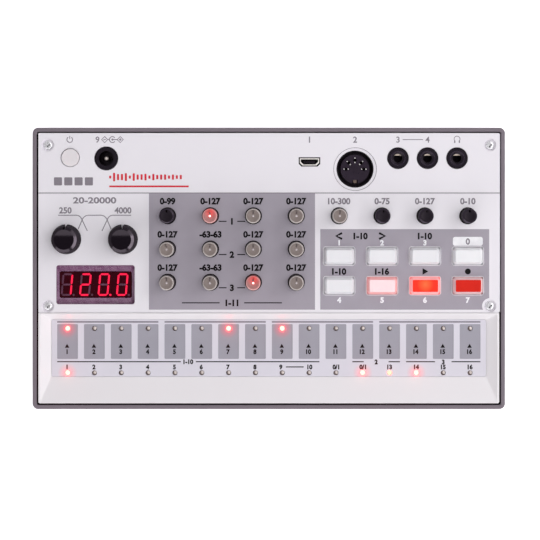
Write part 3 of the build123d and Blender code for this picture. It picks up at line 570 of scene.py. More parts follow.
def bead(x, y, level, radius, half):
    """A raised ring on a flat face."""
    deselect()
    bpy.ops.mesh.primitive_torus_add(major_segments=48, minor_segments=10, major_radius=radius,
                                     minor_radius=half, location=(x, y, level))
    piece = open_new()
    slice_off((x, y, level - half / 2), (0, 0, -1))
    choose(piece, "edges", lambda edge: edge.is_boundary)
    bpy.ops.mesh.bridge_edge_loops()
    close_mesh(smooth=True)
    return piece


# Finishes.

def solid(colour, scale=1.0):
    """A colour with its alpha, made lighter or darker."""
    return tuple(min(1.0, part * scale) for part in colour) + (1.0,)


def coat(weight, roughness):
    """Shader values of a clear coat."""
    return {"Coat Weight": weight, "Coat Roughness": roughness}


def shine(level, colour=(1, 1, 1)):
    """Shader values of a gloss, tinted on request."""
    return {"Specular IOR Level": level, "Specular Tint": solid(colour)}


def emission(colour, strength):
    """Shader values of a light."""
    return {"Emission Color": solid(colour), "Emission Strength": strength}


class Finish:
    """A material being made: its shader, and the textures that feed it."""

    def __init__(self, name, values=()):
        self.material = bpy.data.materials.new(name)
        self.material.use_nodes = True
        self.nodes = self.material.node_tree.nodes
        self.links = self.material.node_tree.links
        self.shader = self.nodes["Principled BSDF"]
        ground = self.nodes.new("ShaderNodeTexCoord")
        self.place, self.normal = ground.outputs["Object"], ground.outputs["Normal"]
        for socket, value in dict(values).items():
            self.shader.inputs[socket].default_value = value

    def add(self, kind, inputs=(), **modes):
        """Adds a node, with values or links on its inputs."""
        node = self.nodes.new(kind)
        for name, value in modes.items():
            setattr(node, name, value)
        for socket, value in dict(inputs).items():
            if isinstance(value, bpy.types.NodeSocket):
                self.links.new(value, node.inputs[socket])
            else:
                node.inputs[socket].default_value = value
        return node

    def feed(self, socket, output):
        """Joins a texture to the shader."""
        self.links.new(output, self.shader.inputs[socket])

    def noise(self, scale, detail=2.0, stretch=(1, 1, 1)):
        """Cloudy noise, as many cells to the metre as its scale."""
        place = self.add("ShaderNodeMapping", {"Vector": self.place, "Scale": stretch}).outputs["Vector"]
        node = self.add("ShaderNodeTexNoise", {"Vector": place, "Scale": scale, "Detail": detail})
        return node.outputs["Fac"]

    def spread(self, share, low, high, first=0.3, last=0.7):
        """Stretches a share to a range."""
        node = self.add("ShaderNodeMapRange", {"Value": share, "From Min": first, "From Max": last,
                                               "To Min": low, "To Max": high})
        return node.outputs["Result"]

    def mix(self, share, first, second):
        """Mixes two colours by a share."""
        return self.add("ShaderNodeMix", {0: share, 6: first, 7: second}, data_type="RGBA").outputs[2]

    def clouds(self, colour, scale, detail, low, high):
        """One colour in darker and lighter clouds."""
        return self.mix(self.spread(self.noise(scale, detail), 0, 1), solid(colour, low), solid(colour, high))

    def dappled(self, colour, scale, fade):
        """Makes a texture's colour a little darker and lighter in clouds."""
        shade = self.spread(self.noise(scale, 4.0), 1 - fade, 1 + fade)
        node = self.add("ShaderNodeVectorMath", {0: colour, "Scale": shade}, operation="SCALE")
        return node.outputs["Vector"]

    def warmed(self, colour, places):
        """Paints light into a colour round each of some places: the tone out to near, fading back to the
        colour by reach, as (point, tone, near, reach).
        """
        for point, tone, near, reach in places:
            away = self.add("ShaderNodeVectorMath", {0: self.place, 1: point}, operation="DISTANCE")
            colour = self.mix(self.spread(away.outputs["Value"], 0, 1, near, reach), solid(tone), colour)
        return colour

    def facing(self, way=(0, 0, 1)):
        """How far the surface faces a way, up to 1."""
        node = self.add("ShaderNodeVectorMath", {0: self.normal, 1: way}, operation="DOT_PRODUCT")
        return node.outputs["Value"]

    def steps(self, share, *stops):
        """Colours or greys along a share: (place, colour) one after the other."""
        node = self.add("ShaderNodeValToRGB", {"Fac": share})
        ramp = node.color_ramp
        while len(ramp.elements) < len(stops):
            ramp.elements.new(1.0)
        for element, (place, colour) in zip(ramp.elements, stops):
            element.position = place
            element.color = colour
        return node.outputs["Color"]

    def gloss(self, low, high, scale, detail=2.0, stretch=(1, 1, 1)):
        """Roughness that wanders over a range."""
        self.feed("Roughness", self.spread(self.noise(scale, detail, stretch), low, high))

    def bump(self, share, depth):
        """Lets a share raise the surface by a depth in millimetres."""
        node = self.add("ShaderNodeBump", {"Height": share, "Distance": depth * mm, "Strength": 1.0})
        self.feed("Normal", node.outputs["Normal"])


def moulded(name, colour, roughness, values=(), cloud=40, grain=2500, depth=0.002, uneven=0.06, fade=0.04,
            painted_light=()):
    """Moulded plastic: faint clouds in its colour, uneven gloss and a fine grain."""
    finish = Finish(name, values)
    finish.feed("Base Color", finish.warmed(finish.clouds(colour, cloud, 4.0, 1 - fade, 1 + fade), painted_light))
    finish.gloss(roughness - uneven, roughness + uneven, cloud * 5, 3.0)
    finish.bump(finish.noise(grain), depth)
    return finish.material


def edged(name, tones, roughness, values=(), grain=1500, depth=0.001, painted_light=()):
    """Moulded plastic with three tones and roughnesses: those of its face, its sloping edge and its side."""
    finish = Finish(name, values)
    up = finish.facing()

    def by_slope(face, edge, side):
        return finish.steps(up, (0.0, side), (0.45, side), (0.6, edge), (0.88, edge), (0.94, face))

    colour = by_slope(*(solid(tone) for tone in tones))
    finish.feed("Base Color", finish.dappled(finish.warmed(colour, painted_light), 300, 0.03))
    finish.feed("Roughness", by_slope(*(solid((share,) * 3) for share in roughness)))
    finish.bump(finish.noise(grain), depth)
    return finish.material


def inked(name, colour):
    """Screen ink: uneven cover and a satin face."""
    return moulded(name, colour, 0.5, shine(0.25), cloud=400, grain=9000, depth=0.001, fade=0.06)


def glowing(name, colour, light, strength):
    """Clear plastic with a lamp behind it."""
    return moulded(name, colour, 0.3, emission(light, strength), cloud=300, grain=2000, depth=0.001)


def lens_plastic(name, shade, painted_highlight):
    """Clear plastic of an unlit lamp, with a painted highlight on the side that faces up, right and to the
    rear, where the key light is, and painted shade on the other side.
    """
    finish = Finish(name, coat(0.3, 0.08))
    side = finish.spread(finish.facing((0.5, 0.33, 0.8)), 0, 1, 0.52, 0.82)
    finish.feed("Base Color", finish.dappled(finish.mix(side, solid(shade), solid(painted_highlight)), 900, 0.04))
    finish.gloss(0.2, 0.34, 1200)
    finish.bump(finish.noise(3000), 0.001)
    return finish.material


def metal(name, colour, roughness, streak=(1, 1, 1), bare=1.0):
    """Plated metal with fine streaks."""
    finish = Finish(name, {"Metallic": bare})
    finish.feed("Base Color", finish.clouds(colour, 500, 3.0, 0.86, 1.0))
    finish.gloss(roughness - 0.08, roughness + 0.1, 1500, 3.0, streak)
    finish.bump(finish.noise(4000, 2.0, streak), 0.001)
    return finish.material


# Pieces.

class SEQUENCER_OT_case(Operator):
    """Finishes the case tub, its feet, its door and its screws, and lays a black sheet in the gap round the
    panel, which paints the shadow there
    """
    bl_idname = "sequencer.case"
    bl_label = "Case"

    def execute(self, context):
        sizes, colours = chosen(context, "sizes", "colours")
        dress(moulded("case_plastic", colours.case, 0.5, coat(0.4, 0.28), grain=3500, depth=0.006),
              "bottom_case")
        dress(moulded("door_plastic", solid(colours.case, 0.94)[:3], 0.52, grain=3500, depth=0.006),
              "battery_door")
        dress(moulded("foot_rubber", tint(44, 42, 45), 0.8, shine(0.3), grain=1800, depth=0.02),
              "rubber_feet")
        dress(metal("case_screw_steel", tint(70, 68, 72), 0.35), "case_screws")

        # A black sheet in the gap round the panel and the bezel, which paints the shadow in that gap.
        low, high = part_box("front_bezel")
        front, rear = (corner.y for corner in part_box("control_panel"))
        gap, lap, beyond = 0.44 * mm, 0.24 * mm, mm
        top = top_of("bottom_case") - 0.1 * mm
        under, through = top - 2 * mm, 4 * mm
        seal = patch(low.x - gap, high.x + gap, low.y - gap, rear, top - sizes.seal, sizes.seal, 0.9 * mm)
        cut(seal, patch(low.x + lap, high.x - lap, low.y + lap, rear + beyond, under, through, 0.7 * mm),
            patch(high.x - beyond, high.x + beyond, front, rear + beyond, under, through))
        settle(seal, "panel_seal", body, "foot_rubber",
               moulded("seal_foam", tint(3, 2, 4), 0.95, shine(0.0), depth=0.01))
        return {"FINISHED"}


class SEQUENCER_OT_panel(Operator):
    """Finishes the control panel and prints its two grey fields"""
    bl_idname = "sequencer.panel"
    bl_label = "Panel"

    def execute(self, context):
        sizes, colours = chosen(context, "sizes", "colours")
        dress(moulded("panel_plastic", colours.panel, 0.42, coat(0.1, 0.3), cloud=25, grain=3000, depth=0.003,
                      uneven=0.03, fade=0.008), "control_panel")
        level = top_of("control_panel")
        ink = moulded("field_ink", colours.field, 0.45, cloud=150, grain=6000, depth=0.001, fade=0.025)
        first_knob, last_knob = middle("level_knob"), middle("cut_knob")
        first_key, last_key = middle("part_down_key"), middle("func_key")
        front = first_knob.y - 11.2 * mm
        left = film_of("control_panel", level, sizes.film, (
            first_knob.x - 7.6 * mm, last_knob.x + 7.65 * mm, front, last_knob.y + 9.1 * mm))
        settle(left, "knob_field", body, "panel_plastic", ink)
        right = film_of("control_panel", level, sizes.film, (
            first_key.x - 7.7 * mm, last_key.x + 8.7 * mm, front, last_key.y + 11.0 * mm))
        # A darker film on the floor of the panel's groove paints the shade in the groove.
        groove_depth = 0.25 * mm
        painted_groove_shade = film_of("control_panel", level - groove_depth, sizes.film)
        settle(painted_groove_shade, "panel_groove", body, "panel_plastic",
               moulded("groove_shade", tint(150, 144, 152), 0.6, cloud=200, grain=4000, depth=0.001))

        low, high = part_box("panel_screws")
        bare_ring = 3.2 * mm
        deselect()
        bpy.ops.mesh.primitive_cylinder_add(vertices=48, radius=bare_ring, depth=2 * mm,
                                            location=(high.x - screw_radius, low.y + screw_radius, level))
        cut(right, bpy.context.object)
        wide, deep = 6.3 * mm + sizes.key_rim, 3.65 * mm + sizes.key_rim
        for key in white_keys + coloured_keys:
            x, y, z = middle(key)
            cut(right, patch(x - wide, x + wide, y - deep, y + deep, level - mm, 2 * mm, 1.1 * mm))
        settle(right, "key_field", body, "panel_plastic", ink)
        return {"FINISHED"}


class SEQUENCER_OT_marks(Operator):
    """Prints the numbers and signs of the control panel"""
    bl_idname = "sequencer.marks"
    bl_label = "Panel marks"

    rear_key_rise, front_key_rise = 8.2, 5.8

    def execute(self, context):
        sizes, colours = chosen(context, "sizes", "colours")
        for name, fill in (("black", self.mark_fields), ("white", self.mark_keys), ("grey", self.mark_panel),
                           ("red", self.mark_bars)):
            marks = Print(top_of("control_panel"), sizes, sizes.label_height)
            fill(marks)
            ink = inked(name + "_ink", getattr(colours, name + "_ink"))
            marks.finish(name + "_marks", "panel_plastic", ink)
        return {"FINISHED"}

    def mark_fields(self, marks):
        """Black marks on the grey fields."""
        for knob in field_knobs:
            x, y = plan(knob)
            marks.number(other_ranges.get(knob, common_range), x, y + marks.sizes.label_rise / mm)
        between = (plan("start_knob")[0] + plan("length_knob")[0]) / 2
        for knob, words in knob_rows.items():
            marks.flanked(words, between, plan(knob)[1] - 2.25, between - 5.4, between + 5.4, 2.2)
        marks.flanked("1-11", between, plan("pan_knob")[1] - 8.4, between - 20.4, between + 20.4, 5.0)

        for key, words in upper_key_numbers.items():
            x, y = plan(key)
            marks.number(words, x, y + (self.rear_key_rise if y > 0 else self.front_key_rise))
        pair, reach = [plan(key) for key in key_arrows], 1.2
        y = pair[0][1] + self.rear_key_rise
        marks.number("1-10", sum(x for x, across in pair) / 2, y)
        for (x, across), side in zip(pair, key_arrows.values()):
            arm = side * reach
            marks.run([(x - arm, y + reach), (x + arm, y), (x - arm, y - reach)], 0.92, lift=marks.sizes.film)
        x, y = plan("play_key")
        marks.disc(x - 0.2, y + self.front_key_rise, 1.55, 3, -math.pi / 2)
        x, y = plan("record_key")
        marks.disc(x, y + self.front_key_rise, 1.2)

    def mark_keys(self, marks):
        """White marks round the keys."""
        for numbers, rise_by, height in ((key_second_numbers, 5.45, 2.0), (lower_key_numbers, -5.85, 2.1)):
            for key, words in numbers.items():
                x, y = plan(key)
                marks.number(words, x, y + rise_by, height=height)
        x, y = plan("func_key")
        marks.block(x - 6.1, x + 6.1, y + 4.2, y + 7.85, 0.9, marks.sizes.film * 1.5)

    def mark_panel(self, marks):
        """Grey marks on the white panel."""
        for knob, words in plain_ranges.items():
            x, y = plan(knob)
            marks.number(words, x, y + marks.sizes.label_rise / mm, weight=0.05)
        x, y = plan("func_key")
        marks.number("0", x, y + 6.0, weight=0.05)

        # The two large knobs: their ranges, and the curves that part them.
        bass, y = plan("bass_knob")
        treble = plan("treble_knob")[0]
        axis, head, fine = (bass + treble) / 2, y + 15.9, marks.sizes.fine_line / mm
        marks.number("20-20000", axis, head, weight=0.04, squeeze=1.35)
        marks.number("250", bass - 0.4, head - 4.1, weight=0.04)
        marks.number("4000", treble, head - 4.1, weight=0.04)
        crest = head - 6.1
        for side in (-1, 1):
            marks.run([(axis + side * x, crest - y) for x, y in (
                (14.9, 0), (9.0, 0), (6.0, 0), (4.5, 3.2), (3.0, 6.4))], fine, smooth=True)
        hump = ((6.7, 5.7), (5.9, 3.75), (4.28, 0), (0.4, 0))
        curve = [(axis - x, crest - y) for x, y in hump]
        curve += [(axis + x, crest - y) for x, y in reversed(hump)]
        marks.run(curve, fine, smooth=True)
        for left in (-16.6, -12.4, -8.2, -4.0):
            marks.block(axis + left, axis + left + 3.3, 33.9, 37.2, 0.35)

        # The row of signs at the rear: power, polarity, sockets and headphones.
        x, y = plan("power_button")
        x, y = x - 0.2, y + 7.4
        marks.run(arc_points(x, y, 1.15, 125, 415, 20), 0.36)
        marks.run([(x, y + 0.2), (x, y + 1.5)], 0.3)
        inlet = plan("dc_pin")[0]
        marks.number("9", inlet - 3.6, y, weight=0.02)
        for x, plus in ((inlet - 0.65, False), (inlet + 5.7, True)):
            marks.run([(x - 1.25, y), (x, y + 1.25), (x + 1.25, y), (x, y - 1.25)], 0.38, closed=True)
            marks.rule(x - 0.5, x + 0.5, y, 0.34)
            if plus:
                marks.run([(x, y - 0.5), (x, y + 0.5)], 0.36)
        ring = inlet + 2.5
        marks.run(arc_points(ring, y, 1.2, 35, 325, 20), 0.34)
        marks.disc(ring, y, 0.42, 20)
        marks.rule(ring + 0.4, ring + 1.95, y, 0.34)
        marks.rule(ring - 1.9, ring - 1.2, y, 0.34)
        for socket, words in (("usb_socket", "1"), ("din_socket", "2")):
            marks.number(words, plan(socket)[0], y, weight=0.03)
        marks.run(arc_points(*plan("din_socket"), 8.75, 0, 354, 59), 0.16, closed=True)
        first, second, phones = (x / mm for x, across in jack_places())
        marks.number("3", first, y, weight=0.02)
        marks.number("4", second, y, weight=0.02)
        marks.rule(first + 1.9, second - 1.9, y, 0.3)
        marks.run(arc_points(phones, y + 0.2, 1.2, -30, 210, 18), 0.26)
        for ear in (phones - 0.95, phones + 0.95):
            marks.block(ear - 0.25, ear + 0.25, y - 1.4, y - 0.35, 0.15)

    def mark_bars(self, marks):
        """A red row of bars over a line."""
        axis, y = plan("display_window")[0], 37.3
        for bar in range(19):
            x = axis + 6.0 + bar * 1.6
            half = 0.55 + 1.3 * abs(math.sin(bar * 1.27)) * (1 - bar / 26)
            marks.block(x - 0.42, x + 0.42, y - half, y + half, 0.2)
        marks.rule(axis + 5.6, axis + 38.0, y - 3.8, 0.7)


class SEQUENCER_OT_strip(Operator):
    """Finishes the frame and the touch sheet, and prints its pads and numbers"""
    bl_idname = "sequencer.strip"
    bl_label = "Touch strip"

    def execute(self, context):
        sizes, colours = chosen(context, "sizes", "colours")
        lamps = list(lamp_points(sizes.lamp_radius))
        columns = [point.x / mm for kind, point in lamps[:pad_count]]

        # A pool of each lit lamp's light is painted onto the sheet and its pads: another tone out to 1 mm,
        # gone by 4 mm.
        def glow(tone):
            return [(point, tone, 1.0 * mm, 4.0 * mm) for kind, point in lamps if kind == "lit"]

        dress(moulded("bezel_plastic", colours.bezel, 0.34, coat(0.15, 0.2), cloud=25, depth=0.001,
                      uneven=0.015, fade=0.005), "front_bezel")
        dress(moulded("strip_plastic", colours.strip, 0.45, cloud=60, grain=5000, fade=0.02,
                      painted_light=glow(tint(250, 188, 195))), "touch_strip")
        low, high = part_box("touch_strip")
        floor = max(face.center.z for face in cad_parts["touch_strip"].data.polygons
                    if face.normal.z > level_share and low.z + 0.1 * mm < face.center.z < high.z - 0.05 * mm)
        settle(film_of("touch_strip", floor, sizes.film), "touch_pads", body, "strip_plastic",
               moulded("pad_ink", colours.pad, 0.5, cloud=120, grain=5000, fade=0.02,
                       painted_light=glow(tint(206, 132, 145))))

        half_pad, rear = 4.245, high.y / mm
        lines = Print(high.z, sizes, sizes.small_height)
        for first, last in zip(columns[::4], columns[3::4]):
            lines.rule(first - half_pad, last + half_pad, rear - 1.0, sizes.broad_line / mm)
        lines.finish("strip_lines", "strip_plastic", inked("line_ink", colours.line_ink))

        marks = Print(floor, sizes, sizes.small_height, 0.95)
        for pad, x in enumerate(columns, 1):
            marks.number(str(pad), x - 0.2, rear - 13.2)
            marks.disc(x - 0.2, rear - 11.05, 1.1, 3)
        marks.level = high.z
        row = rear - 19.45
        words = [str(pad) for pad in range(1, 11)] + ["0/1", "0/1", "13", "14", "15", "16"]
        nudges = [-0.2] * 8 + [-0.6, 0.3] + [0.0] * 6
        for x, word, nudge in zip(columns, words, nudges):
            marks.number(word, x + nudge, row)
        marks.rule(columns[8] + 1.5, columns[9] - 2.2, row)
        wide_gap = (columns[12] - columns[11]) / 2 - 0.4
        for word, first, last, gap, drop in (("1-10", 0, 9, 3.1, 0.0), ("2", 11, 12, wide_gap, 0.1),
                                             ("3", 13, 15, 3.4, 0.1)):
            left, right = columns[first] - half_pad, columns[last] + half_pad
            marks.flanked(word, (left + right) / 2, rear - 17.3, left, right, gap, drop)
        marks.finish("strip_marks", "strip_plastic", inked("strip_ink", colours.black_ink))
        return {"FINISHED"}


class SEQUENCER_OT_lamps(Operator):
    """Builds the thirty-two lamp lenses, some of them lit"""
    bl_idname = "sequencer.lamps"
    bl_label = "Lamps"

    def execute(self, context):
        sizes, colours, light = chosen(context, "sizes", "colours", "light")
        lamps = list(lamp_points(sizes.lamp_radius))
        first = lamps[0][1]
        lens = dome(first.x, first.y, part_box("step_leds")[0].z, first.z - sizes.lamp_crown, first.z,
                    sizes.lamp_radius)
        finishes = {
            "lit": glowing("lamp_lit", tint(255, 120, 110), colours.lamp_glow, light.lamp),
            # The unlit lenses get a painted highlight and painted shade by which way each part of them faces.
            "dark": lens_plastic("lamp_lens", tint(112, 97, 93), tint(224, 213, 207)),
            "amber": glowing("lamp_amber", tint(220, 100, 60), colours.amber_glow, light.lamp * 0.45),
        }
        for kind, finish in finishes.items():
            steps = [point - first for lamp, point in lamps if lamp == kind]
            lenses = [copy_of(lens, step.x, step.y) for step in steps]
            settle(join(lenses), "lamps_" + kind, body, "lamp_lens", finish, "step_leds")
        bpy.data.objects.remove(lens)
        return {"FINISHED"}


class SEQUENCER_OT_display(Operator):
    """Finishes the display window and body, and lights some of its bars"""
    bl_idname = "sequencer.display"
    bl_label = "Display"

    lean, pitch, point_limit = 0.09, 7.525 * mm, 1.6 * mm

    def digit_at(self, x):
        """The digit, from the left, that a place belongs to."""
        return min(3, max(0, round(x / self.pitch + 1.5)))

    def is_lit(self, part, axis, height):
        """Whether a bar or a point of the display belongs to what it reads."""
        low, high = extent(part)
        size, place = high - low, (low + high) / 2 - axis
        if max(size.x, size.y) < self.point_limit:
            return reading[self.digit_at(place.x - 2.65 * mm)].endswith(".")
        upright = place.x - self.lean * place.y
        digit = self.digit_at(upright)
        side = 1 if upright > (digit - 1.5) * self.pitch else -1
        bar = bar_at[0 if size.x > size.y else side, round(4 * place.y / height)]
        return bar in bars_of[reading[digit][0]]

    def execute(self, context):
        colours, light = chosen(context, "colours", "light")
        window = Finish("window_tint", {"Transmission Weight": 1.0, "IOR": 1.25})
        window.feed("Base Color", window.clouds(colours.window, 60, 3.0, 0.98, 1.02))
        window.gloss(0.01, 0.02, 120)
        dress(window.material, "display_window")
        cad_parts["display_window"].visible_shadow = False
        dress(moulded("display_face", tint(82, 11, 28), 0.6, shine(0.1), grain=1500), "display_module")

        low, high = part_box("display_segments")
        axis = middle("display_module") - Vector((0.465 * mm, 0, 0))
        node_copy("display_segments")
        bpy.ops.mesh.separate(type="LOOSE")
        bpy.ops.object.mode_set(mode="OBJECT")
        lit, dark = [], []
        for part in list(bpy.context.selected_objects):
            (lit if self.is_lit(part, axis, high.y - low.y) else dark).append(part)
        settle(join(lit), "bars_lit", body, "segment_red",
               glowing("segment_lit", tint(255, 60, 90), colours.bar_glow, light.bar), "display_segments")
        settle(join(dark), "bars_dark", body, "segment_red",
               moulded("segment_dark", tint(150, 150, 140), 0.4), "display_segments")
        return {"FINISHED"}


class SEQUENCER_OT_knobs(Operator):
    """Finishes the knobs, paints shade into the black ones' pointer notches, and gives the clear ones a point,
    its light colour a painted highlight, and a dot
    """
    bl_idname = "sequencer.knobs"
    bl_label = "Knobs"

    def execute(self, context):
        sizes, colours, light = chosen(context, "sizes", "colours", "light")
        black, violet = colours.black_knob, colours.violet
        # The lighter sloping edge of the black knobs is a painted highlight.
        dress(edged("black_gloss", (black, tint(44, 37, 49), black), (0.48, 0.2, 0.9), shine(0.4, violet)),
              *black_knobs)
        dress(edged("tall_knob_black", (black,) * 3, (0.02, 0.13, 1.0), shine(0.5, violet), 2500, 0.0),
              *tall_knobs)
        dress(metal("shaft_metal", tint(190, 188, 186), 0.3, (1, 1, 6)), "bass_shaft", "treble_shaft")
        smoke = {**coat(0.2, 0.06), **shine(0.35), "Subsurface Weight": 0.1,
                 "Subsurface Radius": (1.0, 0.85, 0.8), "Subsurface Scale": 0.3 * mm}
        gloss = (0.3, 0.2, 0.45)
        # The smoky knobs' lighter sloping edge is a painted highlight, and their dark side painted shade.
        dress(edged("clear_knob", (colours.clear_knob, colours.clear_edge, colours.clear_side), gloss, smoke),
              *clear_knobs)
        smoke.update(emission(tint(255, 84, 76), light.knob))
        # The lit knobs: painted lamp light in their colour and in a red spot over each lamp, a painted
        # highlight on the sloping edge and painted shade on the side.
        for knob in lit_knobs:
            x, y, z = middle(knob)
            over_lamp = (x + 0.3 * mm, y + 1.5 * mm, top_of(knob))
            dress(edged(knob + "_lit", (colours.lit_knob, colours.lit_edge, colours.clear_side), gloss, smoke,
                        painted_light=[(over_lamp, colours.lit_spot, 0, 3.0 * mm)]), knob)

        # The light colour of the unlit knobs' centre point is a painted highlight.
        point = moulded("knob_point", tint(198, 188, 190), 0.3, {"Coat Weight": 0.2}, cloud=800)
        dot = moulded("knob_dot", tint(100, 88, 88), 0.4, grain=3000)
        glow = glowing("knob_point_lit", tint(255, 240, 236), tint(255, 214, 206), 1.2)
        for knob in clear_knobs + lit_knobs:
            x, y, z = middle(knob)
            ground = ground_of(knob, 2 * mm)
            foot = ground - 0.1 * mm
            pip = dome(x, y, foot, ground, ground + sizes.pip_height, sizes.pip_radius, 20, 6)
            settle(pip, knob + "_point", knob, "clear_knob", glow if knob in lit_knobs else point)
            stud = dome(x, y + 1.15 * mm, foot, ground + 0.12 * mm, ground + 0.17 * mm, 0.36 * mm, 16, 4)
            settle(stud, knob + "_dot", knob, "clear_knob", dot)

        # A near-black sheet in each black knob's pointer notch paints the shade there.
        painted_groove_shade = moulded("knob_groove", tint(4, 3, 5), 0.9, shine(0.0), grain=3000)
        half = 0.34 * mm
        for knob in black_knobs:
            x, y, z = middle(knob)
            floor = top_of(knob) - 0.55 * mm
            mark = patch(x - half, x + half, y + 1.42 * mm, y + 2.38 * mm, floor, 0.15 * mm)
            settle(mark, knob + "_mark", knob, "black_knob", painted_groove_shade)
        return {"FINISHED"}


class SEQUENCER_OT_keys(Operator):
    """Finishes the keys and the power button, and gives two keys their red faces"""
    bl_idname = "sequencer.keys"
    bl_label = "Keys"

    def execute(self, context):
        sizes, colours, light = chosen(context, "sizes", "colours", "light")
        milky = {**coat(0.15, 0.2), "Subsurface Weight": 0.3, "Subsurface Radius": (1.0, 0.9, 0.9),
                 "Subsurface Scale": 0.8 * mm}
        roughness, grain = 0.38, 1800
        whites = {"key_white": (colours.key, white_keys),
                  "button_white": (tint(234, 228, 231), ["power_button"]),
                  "key_red_edge": (tint(252, 208, 210), ["record_key"])}
        for name, (colour, nodes) in whites.items():
            dress(moulded(name, colour, roughness, milky, grain=grain), *nodes)
        # The lit keys' pinker face and edges are painted lamp light, on top of their glow.
        for name, face, share, key in (("key_lit", colours.lit_key, 0.4, "step_key"),
                                       ("key_red_lit", tint(255, 178, 176), 1.0, "play_key")):
            glow = {**milky, **emission(tint(255, 130, 126), light.key_lamp * share)}
            tones = face, colours.lit_key_edge, colours.lit_key_edge
            dress(edged(name, tones, (roughness,) * 3, glow, grain, 0.002), key)

        low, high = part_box("power_button")
        x, y, z = (low + high) / 2
        # A dark ring in the gap round the power button paints the shadow there.
        gap_shadow_ring = bead(x, y, top_of("control_panel") - 0.2 * mm, (high.x - low.x) / 2 + 0.125 * mm, 0.11 * mm)
        settle(gap_shadow_ring, "button_sleeve", body, "panel_plastic",
               moulded("sleeve_grey", tint(62, 54, 56), 0.6, grain=2000))

        dull = shine(0.2)
        lit = Finish("red_face_lit", {**emission(tint(255, 64, 40), light.key_lamp), **dull})
        x, y, z = middle("play_key")
        over_lamp = (x, y + 0.6 * mm, top_of("play_key"))
        # An orange spot over the lamp, on the red face, is painted lamp light.
        lit.feed("Base Color", lit.warmed(solid(tint(238, 44, 28)), [
            (over_lamp, tint(255, 112, 62), 0.2 * mm, 3.4 * mm)]))
        lit.gloss(0.3, 0.42, 800)
        lit.bump(lit.noise(2000), 0.001)
        inks = {"play_key": lit.material, "record_key": moulded("red_face", colours.red_key, 0.4, dull, 200)}
        for key, ink in inks.items():
            settle(film_of(key, top_of(key), sizes.film), key + "_face", key, "key_red", ink)
        return {"FINISHED"}


